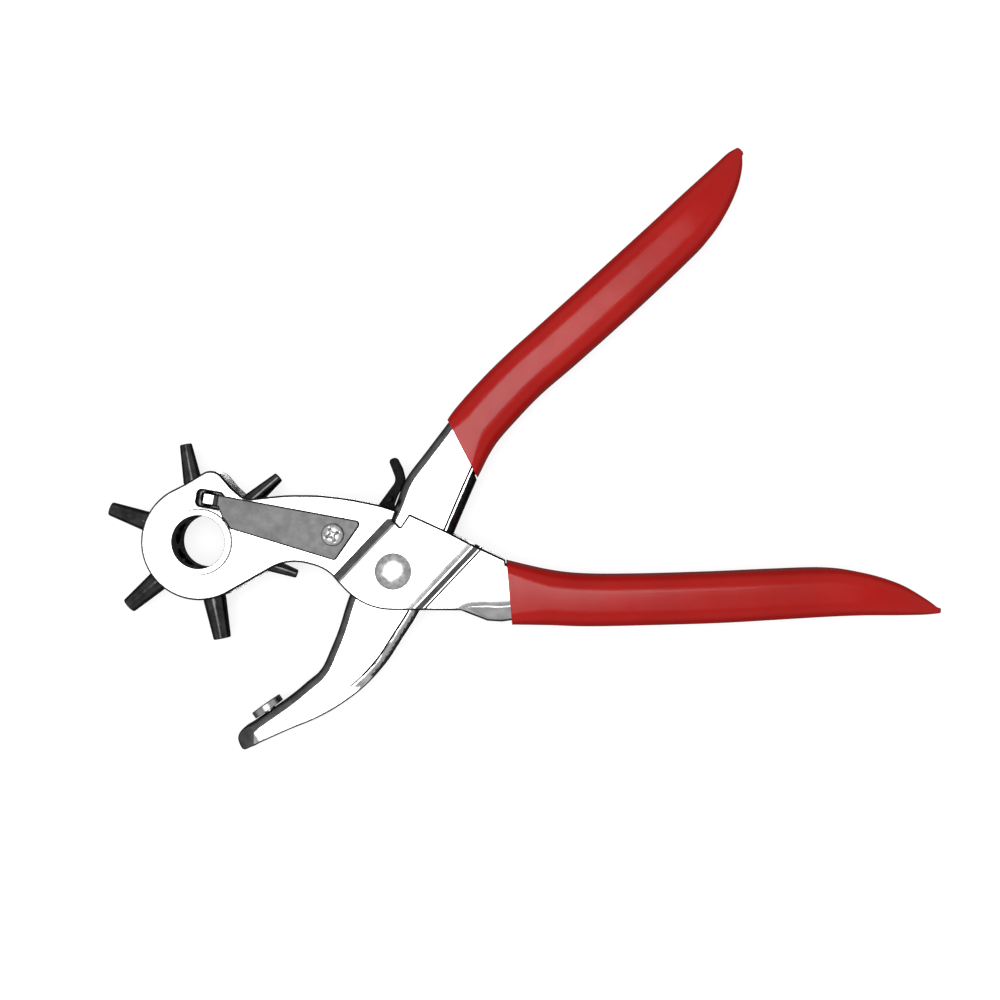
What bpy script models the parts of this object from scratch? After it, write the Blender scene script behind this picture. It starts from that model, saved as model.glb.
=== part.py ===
"""Rotary hole punch: two pivoted sheet-metal levers, a wheel of six hollow punches and an anvil.

The tool lies flat on its back.  +X runs towards the handles, +Y towards the upper handle and +Z
points at whoever looks down on it.  The main pivot's axis is the Z axis, and z = 0 is the flat
face of the pivot rivet's back head.  Dimensions below are in millimetres.  Every flat piece is
drawn in X and Y, and "height" is its distance from the tool's mid-plane, at z = MID_Z.
"""

from math import acos, atan2, cos, degrees, hypot, pi, radians, sin, tan

import bmesh
import bpy
from mathutils import Matrix, Vector
from mathutils.geometry import delaunay_2d_cdt

MM = 0.001

# ---- driving dimensions, millimetres and degrees -------------------------------------------
MID_Z = 9.0
GAP = 0.3

# Wheel lever: folded sheet, two cheeks that carry the wheel and straddle the anvil lever.
SHEET = 1.8
CHEEK_H = 6.7
RAISE = 1.2
RAISE_DIRECTION = -43.4
RAISE_FROM = (-11.1, -9.0)
RAISE_TO = (11.35, 13.3)
FACET_WIDTH = 4.7
FACET_EDGE_H = 2.0
WEB = 1.6
WEB_STEP = 0.4

# Anvil lever: folded channel that passes between the raised parts of the cheeks.
CHANNEL_H = 5.8
CHANNEL_WALL = 1.6
CORNER = 2.0
LIP = 2.1
LIP_DROP = 1.9
LIP_DEPTH = 1.8
LIP_ENDS_Y = (-33.0, -29.0)
NOSE_X = -38.8
NOSE_SLOPE = 0.75

# Wheel and punches.
HUB = (-53.85, 8.1)
WHEEL_R = 14.8
WHEEL_H = 4.6
BORE_R = 7.35
COLLAR_R = 8.35
COLLAR_H = 3.8
FLANGE_R = 9.1
FLANGE_H = 7.8
PUNCH_SIZES = (4.5, 2.0, 2.5, 3.0, 3.5, 4.0)
WORKING_PUNCH_ANGLE = -79.3
PUNCH_PITCH = 60.0
PUNCH_TIP = 27.8
SHANK_R = 2.9
DETENT_RADIUS = 12.1
DETENT_ANGLE = 81.0
DETENT_R = 2.1
DETENT_DEPTH = 1.0

# Anvil: closed, its face meets the working punch; open, it has swung down by CLOSING_ANGLE.
CLOSING_ANGLE = 24.0
ANVIL_R = 4.6
ANVIL_T = 1.9
ANVIL_SHANK_R = 1.7

# Pivot, catch, index spring and screw.
PIVOT_R = 3.0
PIVOT_HEAD_R = 5.1
CATCH_PIVOT = (5.4, 13.0)
CATCH_H = 1.5
CATCH_PIN_R = 1.0
LUG = (-1.3, 20.0)
LUG_R = 1.0
LUG_H = 7.6
LEAF_T = 0.8
TONGUE_START = (-48.1, 19.4)
TONGUE_DIRECTION = 170.0
TONGUE_HALF = 1.7
SCREW = (-16.7, 10.15)
SCREW_R = 1.3
WIRE_R = 0.6
COIL_R = 4.9
COIL_TURNS = 4.297

# Grips: stations are (distance along the grip, lower edge, upper edge).
GRIP_H = 9.0
GRIP_ANGLE = 44.1
LOWER_GRIP = (
    (32.1, -14.9, 2.7), (43.6, -15.2, 0.0), (54.0, -15.5, -1.1), (70.0, -15.2, -1.1),
    (90.0, -14.6, -0.5), (106.0, -13.7, 0.2), (121.0, -12.8, 0.6), (131.0, -12.4, -0.6),
    (140.8, -12.4, -3.6), (148.0, -12.3, -7.6), (152.0, -12.0, -10.4),
)
UPPER_GRIP = (
    (37.4, 2.7, 19.8), (44.5, 5.7, 20.7), (54.5, 6.7, 21.4), (64.7, 7.0, 21.5),
    (78.0, 6.2, 21.0), (98.5, 5.4, 20.3), (118.0, 5.1, 19.7), (128.0, 5.4, 19.5),
    (136.0, 7.2, 19.3), (143.0, 9.9, 19.1), (148.0, 13.0, 19.0), (150.6, 15.6, 18.4),
)
LOWER_MOUTH_LEAN = -0.09
UPPER_MOUTH_LEAN = 0.3
TAIL_CLEAR = 1.65
MOUTH_WALL = 0.6
MOUTH_ROUND = 0.38
GRIP_ROUND = 0.68
TAIL_END_LOWER = 136.0
TAIL_END_UPPER = 136.0


# ---- materials -----------------------------------------------------------------------------
def material(name, colour, metallic, roughness):
    """A Principled material in one colour."""
    made = bpy.data.materials.new(name)
    made.use_nodes = True
    shader = made.node_tree.nodes["Principled BSDF"]
    shader.inputs["Base Color"].default_value = (*colour, 1.0)
    shader.inputs["Metallic"].default_value = metallic
    shader.inputs["Roughness"].default_value = roughness
    return made


def all_materials():
    return {
        "nickel": material("nickel_plated_steel", (0.80, 0.80, 0.81), 1.0, 0.18),
        "leaf": material("satin_spring_steel", (0.22, 0.22, 0.22), 0.9, 0.42),
        "black": material("blackened_steel", (0.012, 0.012, 0.013), 0.6, 0.35),
        "bright": material("bright_steel", (0.72, 0.72, 0.73), 1.0, 0.25),
        "anvil": material("anvil_steel", (0.55, 0.55, 0.56), 1.0, 0.30),
        "grip": material("red_dipped_vinyl", (0.38, 0.012, 0.009), 0.0, 0.32),
    }


# ---- plane geometry ------------------------------------------------------------------------
def polar(centre, radius, angle):
    return (centre[0] + radius * cos(radians(angle)), centre[1] + radius * sin(radians(angle)))


def turned(point, angle, centre=(0.0, 0.0)):
    """The point after a turn by angle degrees about centre."""
    x = point[0] - centre[0]
    y = point[1] - centre[1]
    c = cos(radians(angle))
    s = sin(radians(angle))
    return (centre[0] + c * x - s * y, centre[1] + s * x + c * y)


def arc(centre, radius, start, end, steps):
    return [polar(centre, radius, start + (end - start) * i / steps) for i in range(steps + 1)]


def circle(centre, radius, steps):
    return arc(centre, radius, 0.0, 360.0, steps)[:-1]


def rounded(corners, step=15.0):
    """A closed outline through (x, y, fillet radius) corners, each fillet a run of short edges."""
    outline = []
    count = len(corners)
    for i, (x, y, radius) in enumerate(corners):
        here = Vector((x, y))
        before = (Vector(corners[i - 1][:2]) - here).normalized()
        after = (Vector(corners[(i + 1) % count][:2]) - here).normalized()
        opening = acos(max(-1.0, min(1.0, before.dot(after))))
        if radius == 0.0 or pi - opening < 0.01:
            outline.append((x, y))
            continue
        reach = radius / tan(opening / 2)
        centre = here + (before + after).normalized() * (radius / sin(opening / 2))
        start = here + before * reach - centre
        end = here + after * reach - centre
        first = atan2(start.y, start.x)
        sweep = (atan2(end.y, end.x) - first + pi) % (2 * pi) - pi
        steps = max(1, round(abs(degrees(sweep)) / step))
        for k in range(steps + 1):
            angle = degrees(first + sweep * k / steps)
            outline.append(polar(centre, radius, angle))
    return outline


def smooth(points, pieces):
    """A smooth open line through the points (Catmull-Rom), each stretch in equal pieces."""
    ends = [points[0]] + list(points) + [points[-1]]
    line = []
    for a, b, c, d in zip(ends, ends[1:], ends[2:], ends[3:]):
        for k in range(pieces):
            t = k / pieces
            line.append(tuple(
                0.5 * (2 * q + (r - p) * t + (2 * p - 5 * q + 4 * r - s) * t * t
                       + (3 * q - p - 3 * r + s) * t ** 3)
                for p, q, r, s in zip(a, b, c, d)))
    return line + [points[-1]]


def offset(line, distance):
    """The open line moved sideways, to the left of its direction when distance is positive."""
    ways = [(Vector(b) - Vector(a)).normalized() for a, b in zip(line, line[1:])]
    moved = []
    for (x, y), before, after in zip(line, ways[:1] + ways, ways + ways[-1:]):
        along = (before + after).normalized()
        reach = distance / max(0.6, along.dot(after))
        moved.append((x - along.y * reach, y + along.x * reach))
    return moved


def distance_to(point, line):
    """The shortest distance from the point to an open line."""
    best = 1e9
    for (ax, ay), (bx, by) in zip(line, line[1:]):
        dx = bx - ax
        dy = by - ay
        t = ((point[0] - ax) * dx + (point[1] - ay) * dy) / (dx * dx + dy * dy)
        t = max(0.0, min(1.0, t))
        best = min(best, hypot(point[0] - ax - t * dx, point[1] - ay - t * dy))
    return best


def inside(point, loop):
    x, y = point
    found = False
    for (ax, ay), (bx, by) in zip(loop, loop[1:] + loop[:1]):
        if (ay > y) != (by > y) and x < (bx - ax) * (y - ay) / (by - ay) + ax:
            found = not found
    return found


def blend(value, low, high):
    """0 at low, 1 at high, straight in between."""
    return max(0.0, min(1.0, (value - low) / (high - low)))


def interpolate(stations, at):
    """The (lower, upper) edges of a grip or handle at a distance along it."""
    for (s0, low0, high0), (s1, low1, high1) in zip(stations, stations[1:]):
        if at <= s1:
            t = blend(at, s0, s1)
            return (low0 + (low1 - low0) * t, high0 + (high1 - high0) * t)
    return stations[-1][1:]


# ---- solids --------------------------------------------------------------------------------
def add_object(name, bm, finish, parent, sharp=30.0):
    """Turn a bmesh in world millimetres into an object whose origin is its parent's."""
    origin = Vector(parent.location) if parent else Vector()
    bm.normal_update()
    bmesh.ops.recalc_face_normals(bm, faces=bm.faces)
    for vert in bm.verts:
        vert.co = vert.co * MM - origin
    mesh = bpy.data.meshes.new(name)
    bm.to_mesh(mesh)
    bm.free()
    mesh.shade_smooth()
    mesh.set_sharp_from_angle(angle=radians(sharp))
    mesh.materials.append(finish)
    made = bpy.data.objects.new(name, mesh)
    made.parent = parent
    bpy.context.scene.collection.objects.link(made)
    return made


def add_axis(name, place):
    """An empty on a joint's axis."""
    empty = bpy.data.objects.new(name, None)
    empty.location = Vector((place[0], place[1], MID_Z)) * MM
    bpy.context.scene.collection.objects.link(empty)
    return empty


def cut(target, cutters):
    """Boolean differences by hidden cutter objects."""
    for cutter in cutters:
        cutter.hide_render = True
        cutter.display_type = "WIRE"
        modifier = target.modifiers.new(cutter.name, "BOOLEAN")
        modifier.operation = "DIFFERENCE"
        modifier.object = cutter


def triangulate(outline, holes, creases):
    """Triangles of the plane that keep every outline, hole and crease as edges."""
    points = []
    edges = []
    for closed, lines in ((True, [outline] + holes), (False, creases)):
        for line in lines:
            first = len(points)
            points += [Vector(p) for p in line]
            edges += [(first + i, first + i + 1) for i in range(len(line) - 1)]
            if closed:
                edges.append((len(points) - 1, first))
    result = delaunay_2d_cdt(points, edges, [], 0, 1e-3)
    return result[0], result[2]


def kept(points, triangle, outline, holes):
    middle = sum((points[i] for i in triangle), Vector((0.0, 0.0))) / 3
    return inside(middle, outline) and not any(inside(middle, hole) for hole in holes)


def boundary(triangles):
    """Edges that only one triangle uses."""
    used = {}
    for a, b, c in triangles:
        for edge in ((a, b), (b, c), (c, a)):
            key = tuple(sorted(edge))
            used[key] = used.get(key, 0) + 1
    return [key for key, times in used.items() if times == 1]


def add_layer(bm, triangles, top, bottom):
    """Close the space between two sheets of vertices that share one triangulation."""
    for triangle in triangles:
        bm.faces.new([top[i] for i in triangle])
        low = [bottom[i] for i in triangle]
        if not all(vert.tag for vert in low):
            bm.faces.new(low[::-1])
    for i, j in boundary(triangles):
        bm.faces.new([top[i], top[j], bottom[j], bottom[i]])


def folded(outline, creases, outer, inner, holes, front_holes=()):
    """A sheet folded over the mid-plane: two mirrored walls, joined where inner is zero."""
    points, triangles = triangulate(outline, list(holes) + list(front_holes), creases)
    bm = bmesh.new()
    middle = {}
    for side, openings in ((1, list(holes) + list(front_holes)), (-1, list(holes))):
        wanted = [t for t in triangles if kept(points, t, outline, openings)]
        top = {}
        bottom = {}
        for i in sorted({i for t in wanted for i in t}):
            x, y = points[i]
            top[i] = bm.verts.new((x, y, MID_Z + side * outer(x, y)))
            depth = inner(x, y)
            if depth > 0.0:
                bottom[i] = bm.verts.new((x, y, MID_Z + side * depth))
                continue
            if i not in middle:
                middle[i] = bm.verts.new((x, y, MID_Z))
                middle[i].tag = True
            bottom[i] = middle[i]
        add_layer(bm, wanted, top, bottom)
    loose = [v for v in bm.verts if not v.link_faces]
    bmesh.ops.delete(bm, geom=loose, context="VERTS")
    return bm


def plate(outline, low, high, holes=(), creases=()):
    """A plate between two heights above the mid-plane, each a number or a function of x, y."""
    bottom_of = low if callable(low) else (lambda x, y: low)
    top_of = high if callable(high) else (lambda x, y: high)
    points, triangles = triangulate(outline, list(holes), list(creases))
    wanted = [t for t in triangles if kept(points, t, outline, list(holes))]
    bm = bmesh.new()
    used = sorted({i for t in wanted for i in t})
    top = {i: bm.verts.new((*points[i], MID_Z + top_of(*points[i]))) for i in used}
    bottom = {i: bm.verts.new((*points[i], MID_Z + bottom_of(*points[i]))) for i in used}
    add_layer(bm, wanted, top, bottom)
    return bm


def lathe(profile, place, axis, steps):
    """A turned piece: (radius, distance along the axis) points, as one closed profile."""
    bm = bmesh.new()
    verts = [bm.verts.new((radius, 0.0, along)) for radius, along in profile]
    pairs = list(zip(verts, verts[1:] + verts[:1]))
    edges = [bm.edges.new(pair) for pair in pairs if max(v.co.x for v in pair) > 0.0]
    bmesh.ops.spin(bm, geom=edges, cent=(0, 0, 0), axis=(0, 0, 1), angle=2 * pi, steps=steps,
                   use_merge=True)
    bmesh.ops.remove_doubles(bm, verts=bm.verts, dist=1e-4)
    turn = Vector((0, 0, 1)).rotation_difference(Vector(axis)).to_matrix().to_4x4()
    bm.transform(Matrix.Translation(Vector(place)) @ turn)
    return bm


def cylinder(place, axis, radius, start, end, steps):
    """A plain cylinder from start to end along an axis through place."""
    return lathe([(0, start), (radius, start), (radius, end), (0, end)], place, axis, steps)


def at_mid(point, height=0.0):
    return (point[0], point[1], MID_Z + height)


# ---- the wheel lever -----------------------------------------------------------------------
def across_raise(x, y):
    """Distance across the raised band, square to its two joggles."""
    return x * cos(radians(RAISE_DIRECTION)) + y * sin(radians(RAISE_DIRECTION))


def joggle_line(distance):
    """A crease parallel to the raised band, long enough to cross the lever."""
    middle = polar((0.0, 0.0), distance, RAISE_DIRECTION)
    return [polar(middle, 30.0, RAISE_DIRECTION + 90), polar(middle, 30.0, RAISE_DIRECTION - 90)]


def wheel_lever_bottom():
    """The folded edge of the handle, from the end of its web to the tail."""
    tail = [(s, interpolate(LOWER_GRIP, s)[0] + TAIL_CLEAR) for s in (43.6, 54.0, 90.0, 121.0)]
    return [(26.0, -14.1), (30.0, -14.35), (32.6, -14.0)] + tail + [(TAIL_END_LOWER, -10.7)]


def wheel_lever_outline():
    bottom = wheel_lever_bottom()
    stations = (121.0, 106.0, 90.0, 70.0, 54.0, 43.6)
    top = [(s, interpolate(LOWER_GRIP, s)[1] - TAIL_CLEAR, 0.0) for s in stations]
    return rounded(
        [(*polar(HUB, 16.2, angle), 0.0) for angle in range(120, 299, 12)]
        + [(-29.3, 3.4, 13.0), (-18.9, 0.8, 12.0), (-8.1, -10.7, 18.0), (18.7, -10.9, 1.5)]
        + [(x, y, 0.0) for x, y in bottom]
        + [(TAIL_END_LOWER, -4.2, 0.0)]
        + top
        + [(31.1, 1.8, 0.0), (31.0, 3.1, 0.3), (21.9, 7.4, 20.0), (14.6, 11.2, 20.0)]
        + [(4.4, 15.9, 0.6), (1.9, 12.2, 0.3), (0.0, 14.3, 0.3), (0.9, 16.8, 0.3)]
        + [(-3.7, 18.3, 0.0), (-12.6, 20.1, 40.0), (-21.1, 21.1, 40.0), (-30.0, 21.1, 40.0)]
        + [(-41.3, 19.9, 5.0), (-45.2, 23.4, 3.0), (-49.9, 29.0, 4.0), (-58.2, 24.0, 8.0)])


def index_slot():
    """The slot that lets the index spring's tongue through the front cheek."""
    middle = polar(TONGUE_START, 2.85, TONGUE_DIRECTION)
    corners = ((3.45, 2.1), (-3.45, 2.1), (-3.45, -2.1), (3.45, -2.1))
    placed = [turned((middle[0] + a, middle[1] + b), TONGUE_DIRECTION, middle)
              for a, b in corners]
    return rounded([(x, y, 1.0) for x, y in placed], 45.0)


def make_wheel_lever(finish):
    web_line = wheel_lever_bottom()
    facet_line = [(22.0, -14.3)] + web_line
    facet_crease = arc(facet_line[0], FACET_WIDTH, 150.0, 90.0, 3)
    facet_crease += offset(facet_line, FACET_WIDTH)[1:]

    def raised(x, y):
        u = across_raise(x, y)
        return RAISE * min(blend(u, *RAISE_FROM), 1.0 - blend(u, *RAISE_TO))

    def outer(x, y):
        facet = FACET_EDGE_H + distance_to((x, y), facet_line)
        return min(CHEEK_H, facet) + raised(x, y)

    def inner(x, y):
        if distance_to((x, y), web_line) < WEB + WEB_STEP / 2:
            return 0.0
        facet = FACET_EDGE_H + distance_to((x, y), facet_line) - 1.27 * SHEET
        return min(CHEEK_H - SHEET, facet) + raised(x, y)

    creases = [joggle_line(u) for u in RAISE_FROM + RAISE_TO]
    creases += [facet_crease, offset(web_line, WEB), offset(web_line, WEB + WEB_STEP)]
    holes = [circle(HUB, COLLAR_R + GAP, 36), circle((0.0, 0.0), PIVOT_R + GAP, 20)]
    front_holes = [index_slot(), circle(SCREW, SCREW_R + GAP, 12)]
    bm = folded(wheel_lever_outline(), creases, outer, inner, holes, front_holes)
    add_object("wheel_lever", bm, finish, None)


# ---- the anvil lever -----------------------------------------------------------------------
def anvil_seat():
    """Where the anvil sits on the open lever, and which way it faces."""
    closed = polar(HUB, PUNCH_TIP + GAP, WORKING_PUNCH_ANGLE)
    face = turned(closed, CLOSING_ANGLE)
    facing = WORKING_PUNCH_ANGLE + 180.0 + CLOSING_ANGLE
    return polar(face, ANVIL_T + GAP, facing + 180.0), facing


def along_grip(s, t):
    """A point given along and across the upper handle."""
    return turned((s, t), GRIP_ANGLE)


def anvil_lever_web():
    """The folded edge of the anvil lever, from the tail down to the nose of the jaw."""
    seat, facing = anvil_seat()
    tail = [(TAIL_END_UPPER, 17.6)]
    stations = (118.0, 98.5, 78.0, 54.5, 44.5)
    tail += [(s, interpolate(UPPER_GRIP, s)[1] - TAIL_CLEAR) for s in stations]
    tail += [(39.6, 18.9), (38.0, 19.0)]
    jaw = [(8.1, 32.2), (3.1, 25.4), (0.0, 17.6), (-3.8, 10.3), (-8.6, 2.2), (-12.7, -7.4)]
    jaw += [(-15.3, -15.7), (-17.5, -21.3), (-20.5, -27.6), (-25.3, -31.9)]
    jaw += [polar(seat, 6.0, facing - 90.0), polar(seat, 6.0, facing + 90.0)]
    nose = [(-42.8, -44.6), (-44.0, -47.2), (-42.4, -50.0), (-40.0, -49.3)]
    return [along_grip(*p) for p in tail] + smooth(jaw, 2) + nose


def anvil_lever_edge():
    """The open edge of the anvil lever, from the jaw up to the tail."""
    tail = [(34.2, 2.3), (34.7, 3.6)]
    stations = (44.5, 54.5, 64.7, 98.5, 118.0)
    tail += [(s, interpolate(UPPER_GRIP, s)[0] + TAIL_CLEAR) for s in stations]
    tail += [(TAIL_END_UPPER, 10.5)]
    jaw = [(-37.1, -47.7), (-29.1, -44.1), (-22.7, -41.5), (-15.9, -37.9), (-8.2, -32.2)]
    jaw += [(-2.3, -25.8), (1.9, -19.4), (7.0, -11.2), (12.0, 0.0), (16.5, 10.5), (21.4, 22.0)]
    return smooth(jaw, 2) + [along_grip(*p) for p in tail]


def make_anvil_lever(finish, axis):
    web_line = anvil_lever_web()
    edge_line = anvil_lever_edge()
    nose_crease = [(NOSE_X, -30.0), (NOSE_X, -60.0)]

    def lip_at(y):
        return blend(y, *LIP_ENDS_Y)

    def outer(x, y):
        corner = CHANNEL_H - CORNER + distance_to((x, y), web_line)
        nose = CHANNEL_H - NOSE_SLOPE * max(0.0, NOSE_X - x)
        roll = LIP_DROP * (1.0 - min(1.0, distance_to((x, y), edge_line) / LIP)) * lip_at(y)
        return min(CHANNEL_H, corner, nose) - roll

    def inner(x, y):
        if distance_to((x, y), web_line) < (CHANNEL_WALL + CORNER) / 2:
            return 0.0
        flat = min(CHANNEL_H, CHANNEL_H - NOSE_SLOPE * max(0.0, NOSE_X - x)) - CHANNEL_WALL
        if distance_to((x, y), edge_line) < CHANNEL_WALL + 0.1:
            return flat - LIP_DEPTH * lip_at(y)
        return flat

    creases = [offset(web_line, d) for d in (CHANNEL_WALL, CORNER)]
    creases += [offset(edge_line, d) for d in (CHANNEL_WALL, CHANNEL_WALL + WEB_STEP, LIP)]
    creases.append(nose_crease)
    holes = [circle((0.0, 0.0), PIVOT_R + GAP, 20), circle(CATCH_PIVOT, CATCH_PIN_R + GAP, 12)]
    bm = folded(web_line + edge_line, creases, outer, inner, holes)
    lever = add_object("anvil_lever", bm, finish, axis)

    seat, facing = anvil_seat()
    towards = (cos(radians(facing)), sin(radians(facing)), 0.0)
    hole = cylinder(at_mid(seat), towards, ANVIL_SHANK_R + GAP, -4.0, 2.0, 16)
    slot = plate(rounded([(-6.5, 9.5, 0), (4.0, 9.5, 0), (4.5, 19.0, 0), (-3.5, 19.0, 0)]),
                 -CATCH_H - GAP, CATCH_H + GAP)
    cut(lever, [add_object("cut_anvil_hole", hole, finish, axis),
                add_object("cut_catch_slot", slot, finish, axis)])


def make_anvil(finish, axis):
    """The anvil disc with its shank riveted over inside the channel."""
    seat, facing = anvil_seat()
    towards = (cos(radians(facing)), sin(radians(facing)), 0.0)
    inside_web = -CHANNEL_WALL - 2 * GAP
    profile = [(0.0, inside_web - 0.8), (2.3, inside_web - 0.8), (2.6, inside_web - 0.3)]
    profile += [(2.6, inside_web), (ANVIL_SHANK_R, inside_web), (ANVIL_SHANK_R, GAP)]
    profile += [(ANVIL_R - 0.2, GAP), (ANVIL_R, GAP + 0.2), (ANVIL_R, GAP + ANVIL_T - 0.3)]
    profile += [(ANVIL_R - 0.3, GAP + ANVIL_T), (0.0, GAP + ANVIL_T)]
    add_object("anvil", lathe(profile, at_mid(seat), towards, 32), finish, axis)


# ---- wheel, eyelets and punches ------------------------------------------------------------
def make_wheel(finish, axis):
    """The drum: a bore for the slugs, counterbores for the eyelets, sockets and detents."""
    step = COLLAR_H - GAP
    bevel = 0.6
    profile = [(BORE_R, -step), (COLLAR_R + GAP, -step), (COLLAR_R + GAP, -WHEEL_H)]
    profile += [(WHEEL_R - bevel, -WHEEL_H), (WHEEL_R, bevel - WHEEL_H)]
    profile += [(radius, -height) for radius, height in reversed(profile)]
    wheel = add_object("punch_wheel", lathe(profile, at_mid(HUB), (0, 0, 1), 48), finish, axis)
    cutters = []
    for number in range(len(PUNCH_SIZES)):
        angle = WORKING_PUNCH_ANGLE + PUNCH_PITCH * number
        out = (cos(radians(angle)), sin(radians(angle)), 0.0)
        socket = cylinder(at_mid(HUB), out, SHANK_R + GAP, 0.0, WHEEL_R + 2.0, 16)
        cutters.append(add_object("cut_socket_%d" % number, socket, finish, axis))
        place = polar(HUB, DETENT_RADIUS, DETENT_ANGLE + PUNCH_PITCH * number)
        depth = WHEEL_H - DETENT_DEPTH
        dimple = cylinder(at_mid(place), (0, 0, 1), DETENT_R, depth, WHEEL_H + 1.0, 12)
        cutters.append(add_object("cut_detent_%d" % number, dimple, finish, axis))
    cut(wheel, cutters)


def make_punch(size, number, finish, axis):
    """A hollow punch: shank in the wheel, tapered body, sharpened rim."""
    angle = WORKING_PUNCH_ANGLE + PUNCH_PITCH * number
    out = (cos(radians(angle)), sin(radians(angle)), 0.0)
    bore = size / 2
    base = 0.38 * size + 1.44
    tip = bore + 0.22
    profile = [(bore + 0.15, 8.4), (SHANK_R, 8.4), (SHANK_R, WHEEL_R + 0.2), (base, 16.0)]
    profile += [(base, 17.5), (tip, PUNCH_TIP - 0.3), (bore + 0.08, PUNCH_TIP)]
    profile += [(bore, PUNCH_TIP), (bore, PUNCH_TIP - 5.0), (bore + 0.15, PUNCH_TIP - 6.0)]
    name = "punch_tube_%s_mm" % str(size).replace(".", "_")
    add_object(name, lathe(profile, at_mid(HUB), out, 18), finish, axis)


def make_eyelet(name, side, finish):
    """A flanged collar in one cheek, on which the wheel turns."""
    under = CHEEK_H + GAP
    profile = [(BORE_R, COLLAR_H), (COLLAR_R, COLLAR_H), (COLLAR_R, under), (FLANGE_R, under)]
    profile += [(FLANGE_R, FLANGE_H - 0.25), (FLANGE_R - 0.25, FLANGE_H)]
    profile += [(BORE_R + 0.3, FLANGE_H), (BORE_R, FLANGE_H - 0.3)]
    add_object(name, lathe(profile, at_mid(HUB), (0, 0, side), 40), finish, None)


# ---- pivot and opening spring --------------------------------------------------------------
def make_pivot_rivet(finish):
    under = CHEEK_H + RAISE + GAP
    back = MID_Z - under
    profile = [(0.0, -MID_Z), (PIVOT_HEAD_R - 0.4, -MID_Z), (PIVOT_HEAD_R - 0.1, 0.3 - MID_Z)]
    profile += [(PIVOT_HEAD_R - 0.1, back - MID_Z), (PIVOT_R, back - MID_Z), (PIVOT_R, under)]
    profile += [(PIVOT_HEAD_R, under), (PIVOT_HEAD_R, under + 0.15), (4.5, under + 0.44)]
    profile += [(3.3, under + 0.97), (1.7, under + 1.4), (0.0, under + 1.55)]
    add_object("pivot_rivet", lathe(profile, at_mid((0, 0)), (0, 0, 1), 32), finish, None)


def make_pivot_bush(finish, axis):
    """A spacer that keeps the channel's walls apart round the rivet."""
    height = CHANNEL_H - CHANNEL_WALL - GAP
    profile = [(PIVOT_R + GAP, -height), (PIVOT_R + 0.9, -height)]
    profile += [(PIVOT_R + 0.9, height), (PIVOT_R + GAP, height)]
    add_object("pivot_bush", lathe(profile, at_mid((0, 0)), (0, 0, 1), 20), finish, axis)


def make_opening_spring(finish):
    """A torsion spring round the pivot: one leg on each lever's web."""
    steps = round(COIL_TURNS * 14)
    first = 150.0
    half = 3.0
    route = [(4.6, 17.8, half)]
    for i in range(steps + 1):
        part = i / steps
        place = polar((0.0, 0.0), COIL_R, first + 360.0 * COIL_TURNS * part)
        route.append((*place, half - 2 * half * part))
    route += [(2.6, -5.7, -2.9), (6.0, -6.5, -1.5), (16.0, -8.8, -0.5), (27.5, -11.3, 0.0)]
    curve = bpy.data.curves.new("opening_spring", "CURVE")
    curve.dimensions = "3D"
    curve.bevel_depth = WIRE_R * MM
    curve.bevel_resolution = 1
    curve.use_fill_caps = True
    curve.render_resolution_u = 0
    spline = curve.splines.new("POLY")
    spline.points.add(len(route) - 1)
    for point, (x, y, height) in zip(spline.points, route):
        point.co = (x * MM, y * MM, (MID_Z + height) * MM, 1.0)
    curve.materials.append(finish)
    bpy.context.scene.collection.objects.link(bpy.data.objects.new("opening_spring", curve))


# ---- index spring and its screw ------------------------------------------------------------
def make_index_spring(finish):
    """The leaf on the front cheek; its tongue drops through the slot onto the wheel."""
    side = [polar(TONGUE_START, r, TONGUE_DIRECTION - 90) for r in (TONGUE_HALF, -TONGUE_HALF)]
    tips = [polar(p, 5.2, TONGUE_DIRECTION) for p in side]
    hug = arc(HUB, FLANGE_R + GAP, 46.0, 23.0, 3)
    corners = [(*p, 0.0) for p in (tips[0], side[0])]
    corners += [(-46.9, 20.9, 0.5), (-8.5, 13.8, 1.2), (-16.1, 2.9, 0.8)]
    corners += [(*p, 0.0) for p in hug[::-1]]
    corners += [(*side[1], 0.0), (*tips[1], 0.0)]
    outline = rounded(corners)
    out = Vector((cos(radians(TONGUE_DIRECTION)), sin(radians(TONGUE_DIRECTION))))
    stations = ((0.3, 7.0), (2.6, 5.0), (3.0, 4.9), (3.4, 4.1), (4.3, 4.1), (4.9, 4.7))

    def low(x, y):
        along = (Vector((x, y)) - Vector(TONGUE_START)).dot(out)
        if along <= stations[0][0]:
            return stations[0][1]
        for (a, low_a), (b, low_b) in zip(stations, stations[1:]):
            if along <= b:
                return low_a + (low_b - low_a) * blend(along, a, b)
        return stations[-1][1]

    def high(x, y):
        return low(x, y) + LEAF_T

    across = TONGUE_DIRECTION + 90.0
    folds = []
    for along, _ in stations[:-1]:
        middle = polar(TONGUE_START, along, TONGUE_DIRECTION)
        folds.append([polar(middle, r, across) for r in (-TONGUE_HALF, TONGUE_HALF)])
    holes = [circle(SCREW, SCREW_R + GAP, 12)]
    add_object("index_spring", plate(outline, low, high, holes, folds), finish, None)


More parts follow.
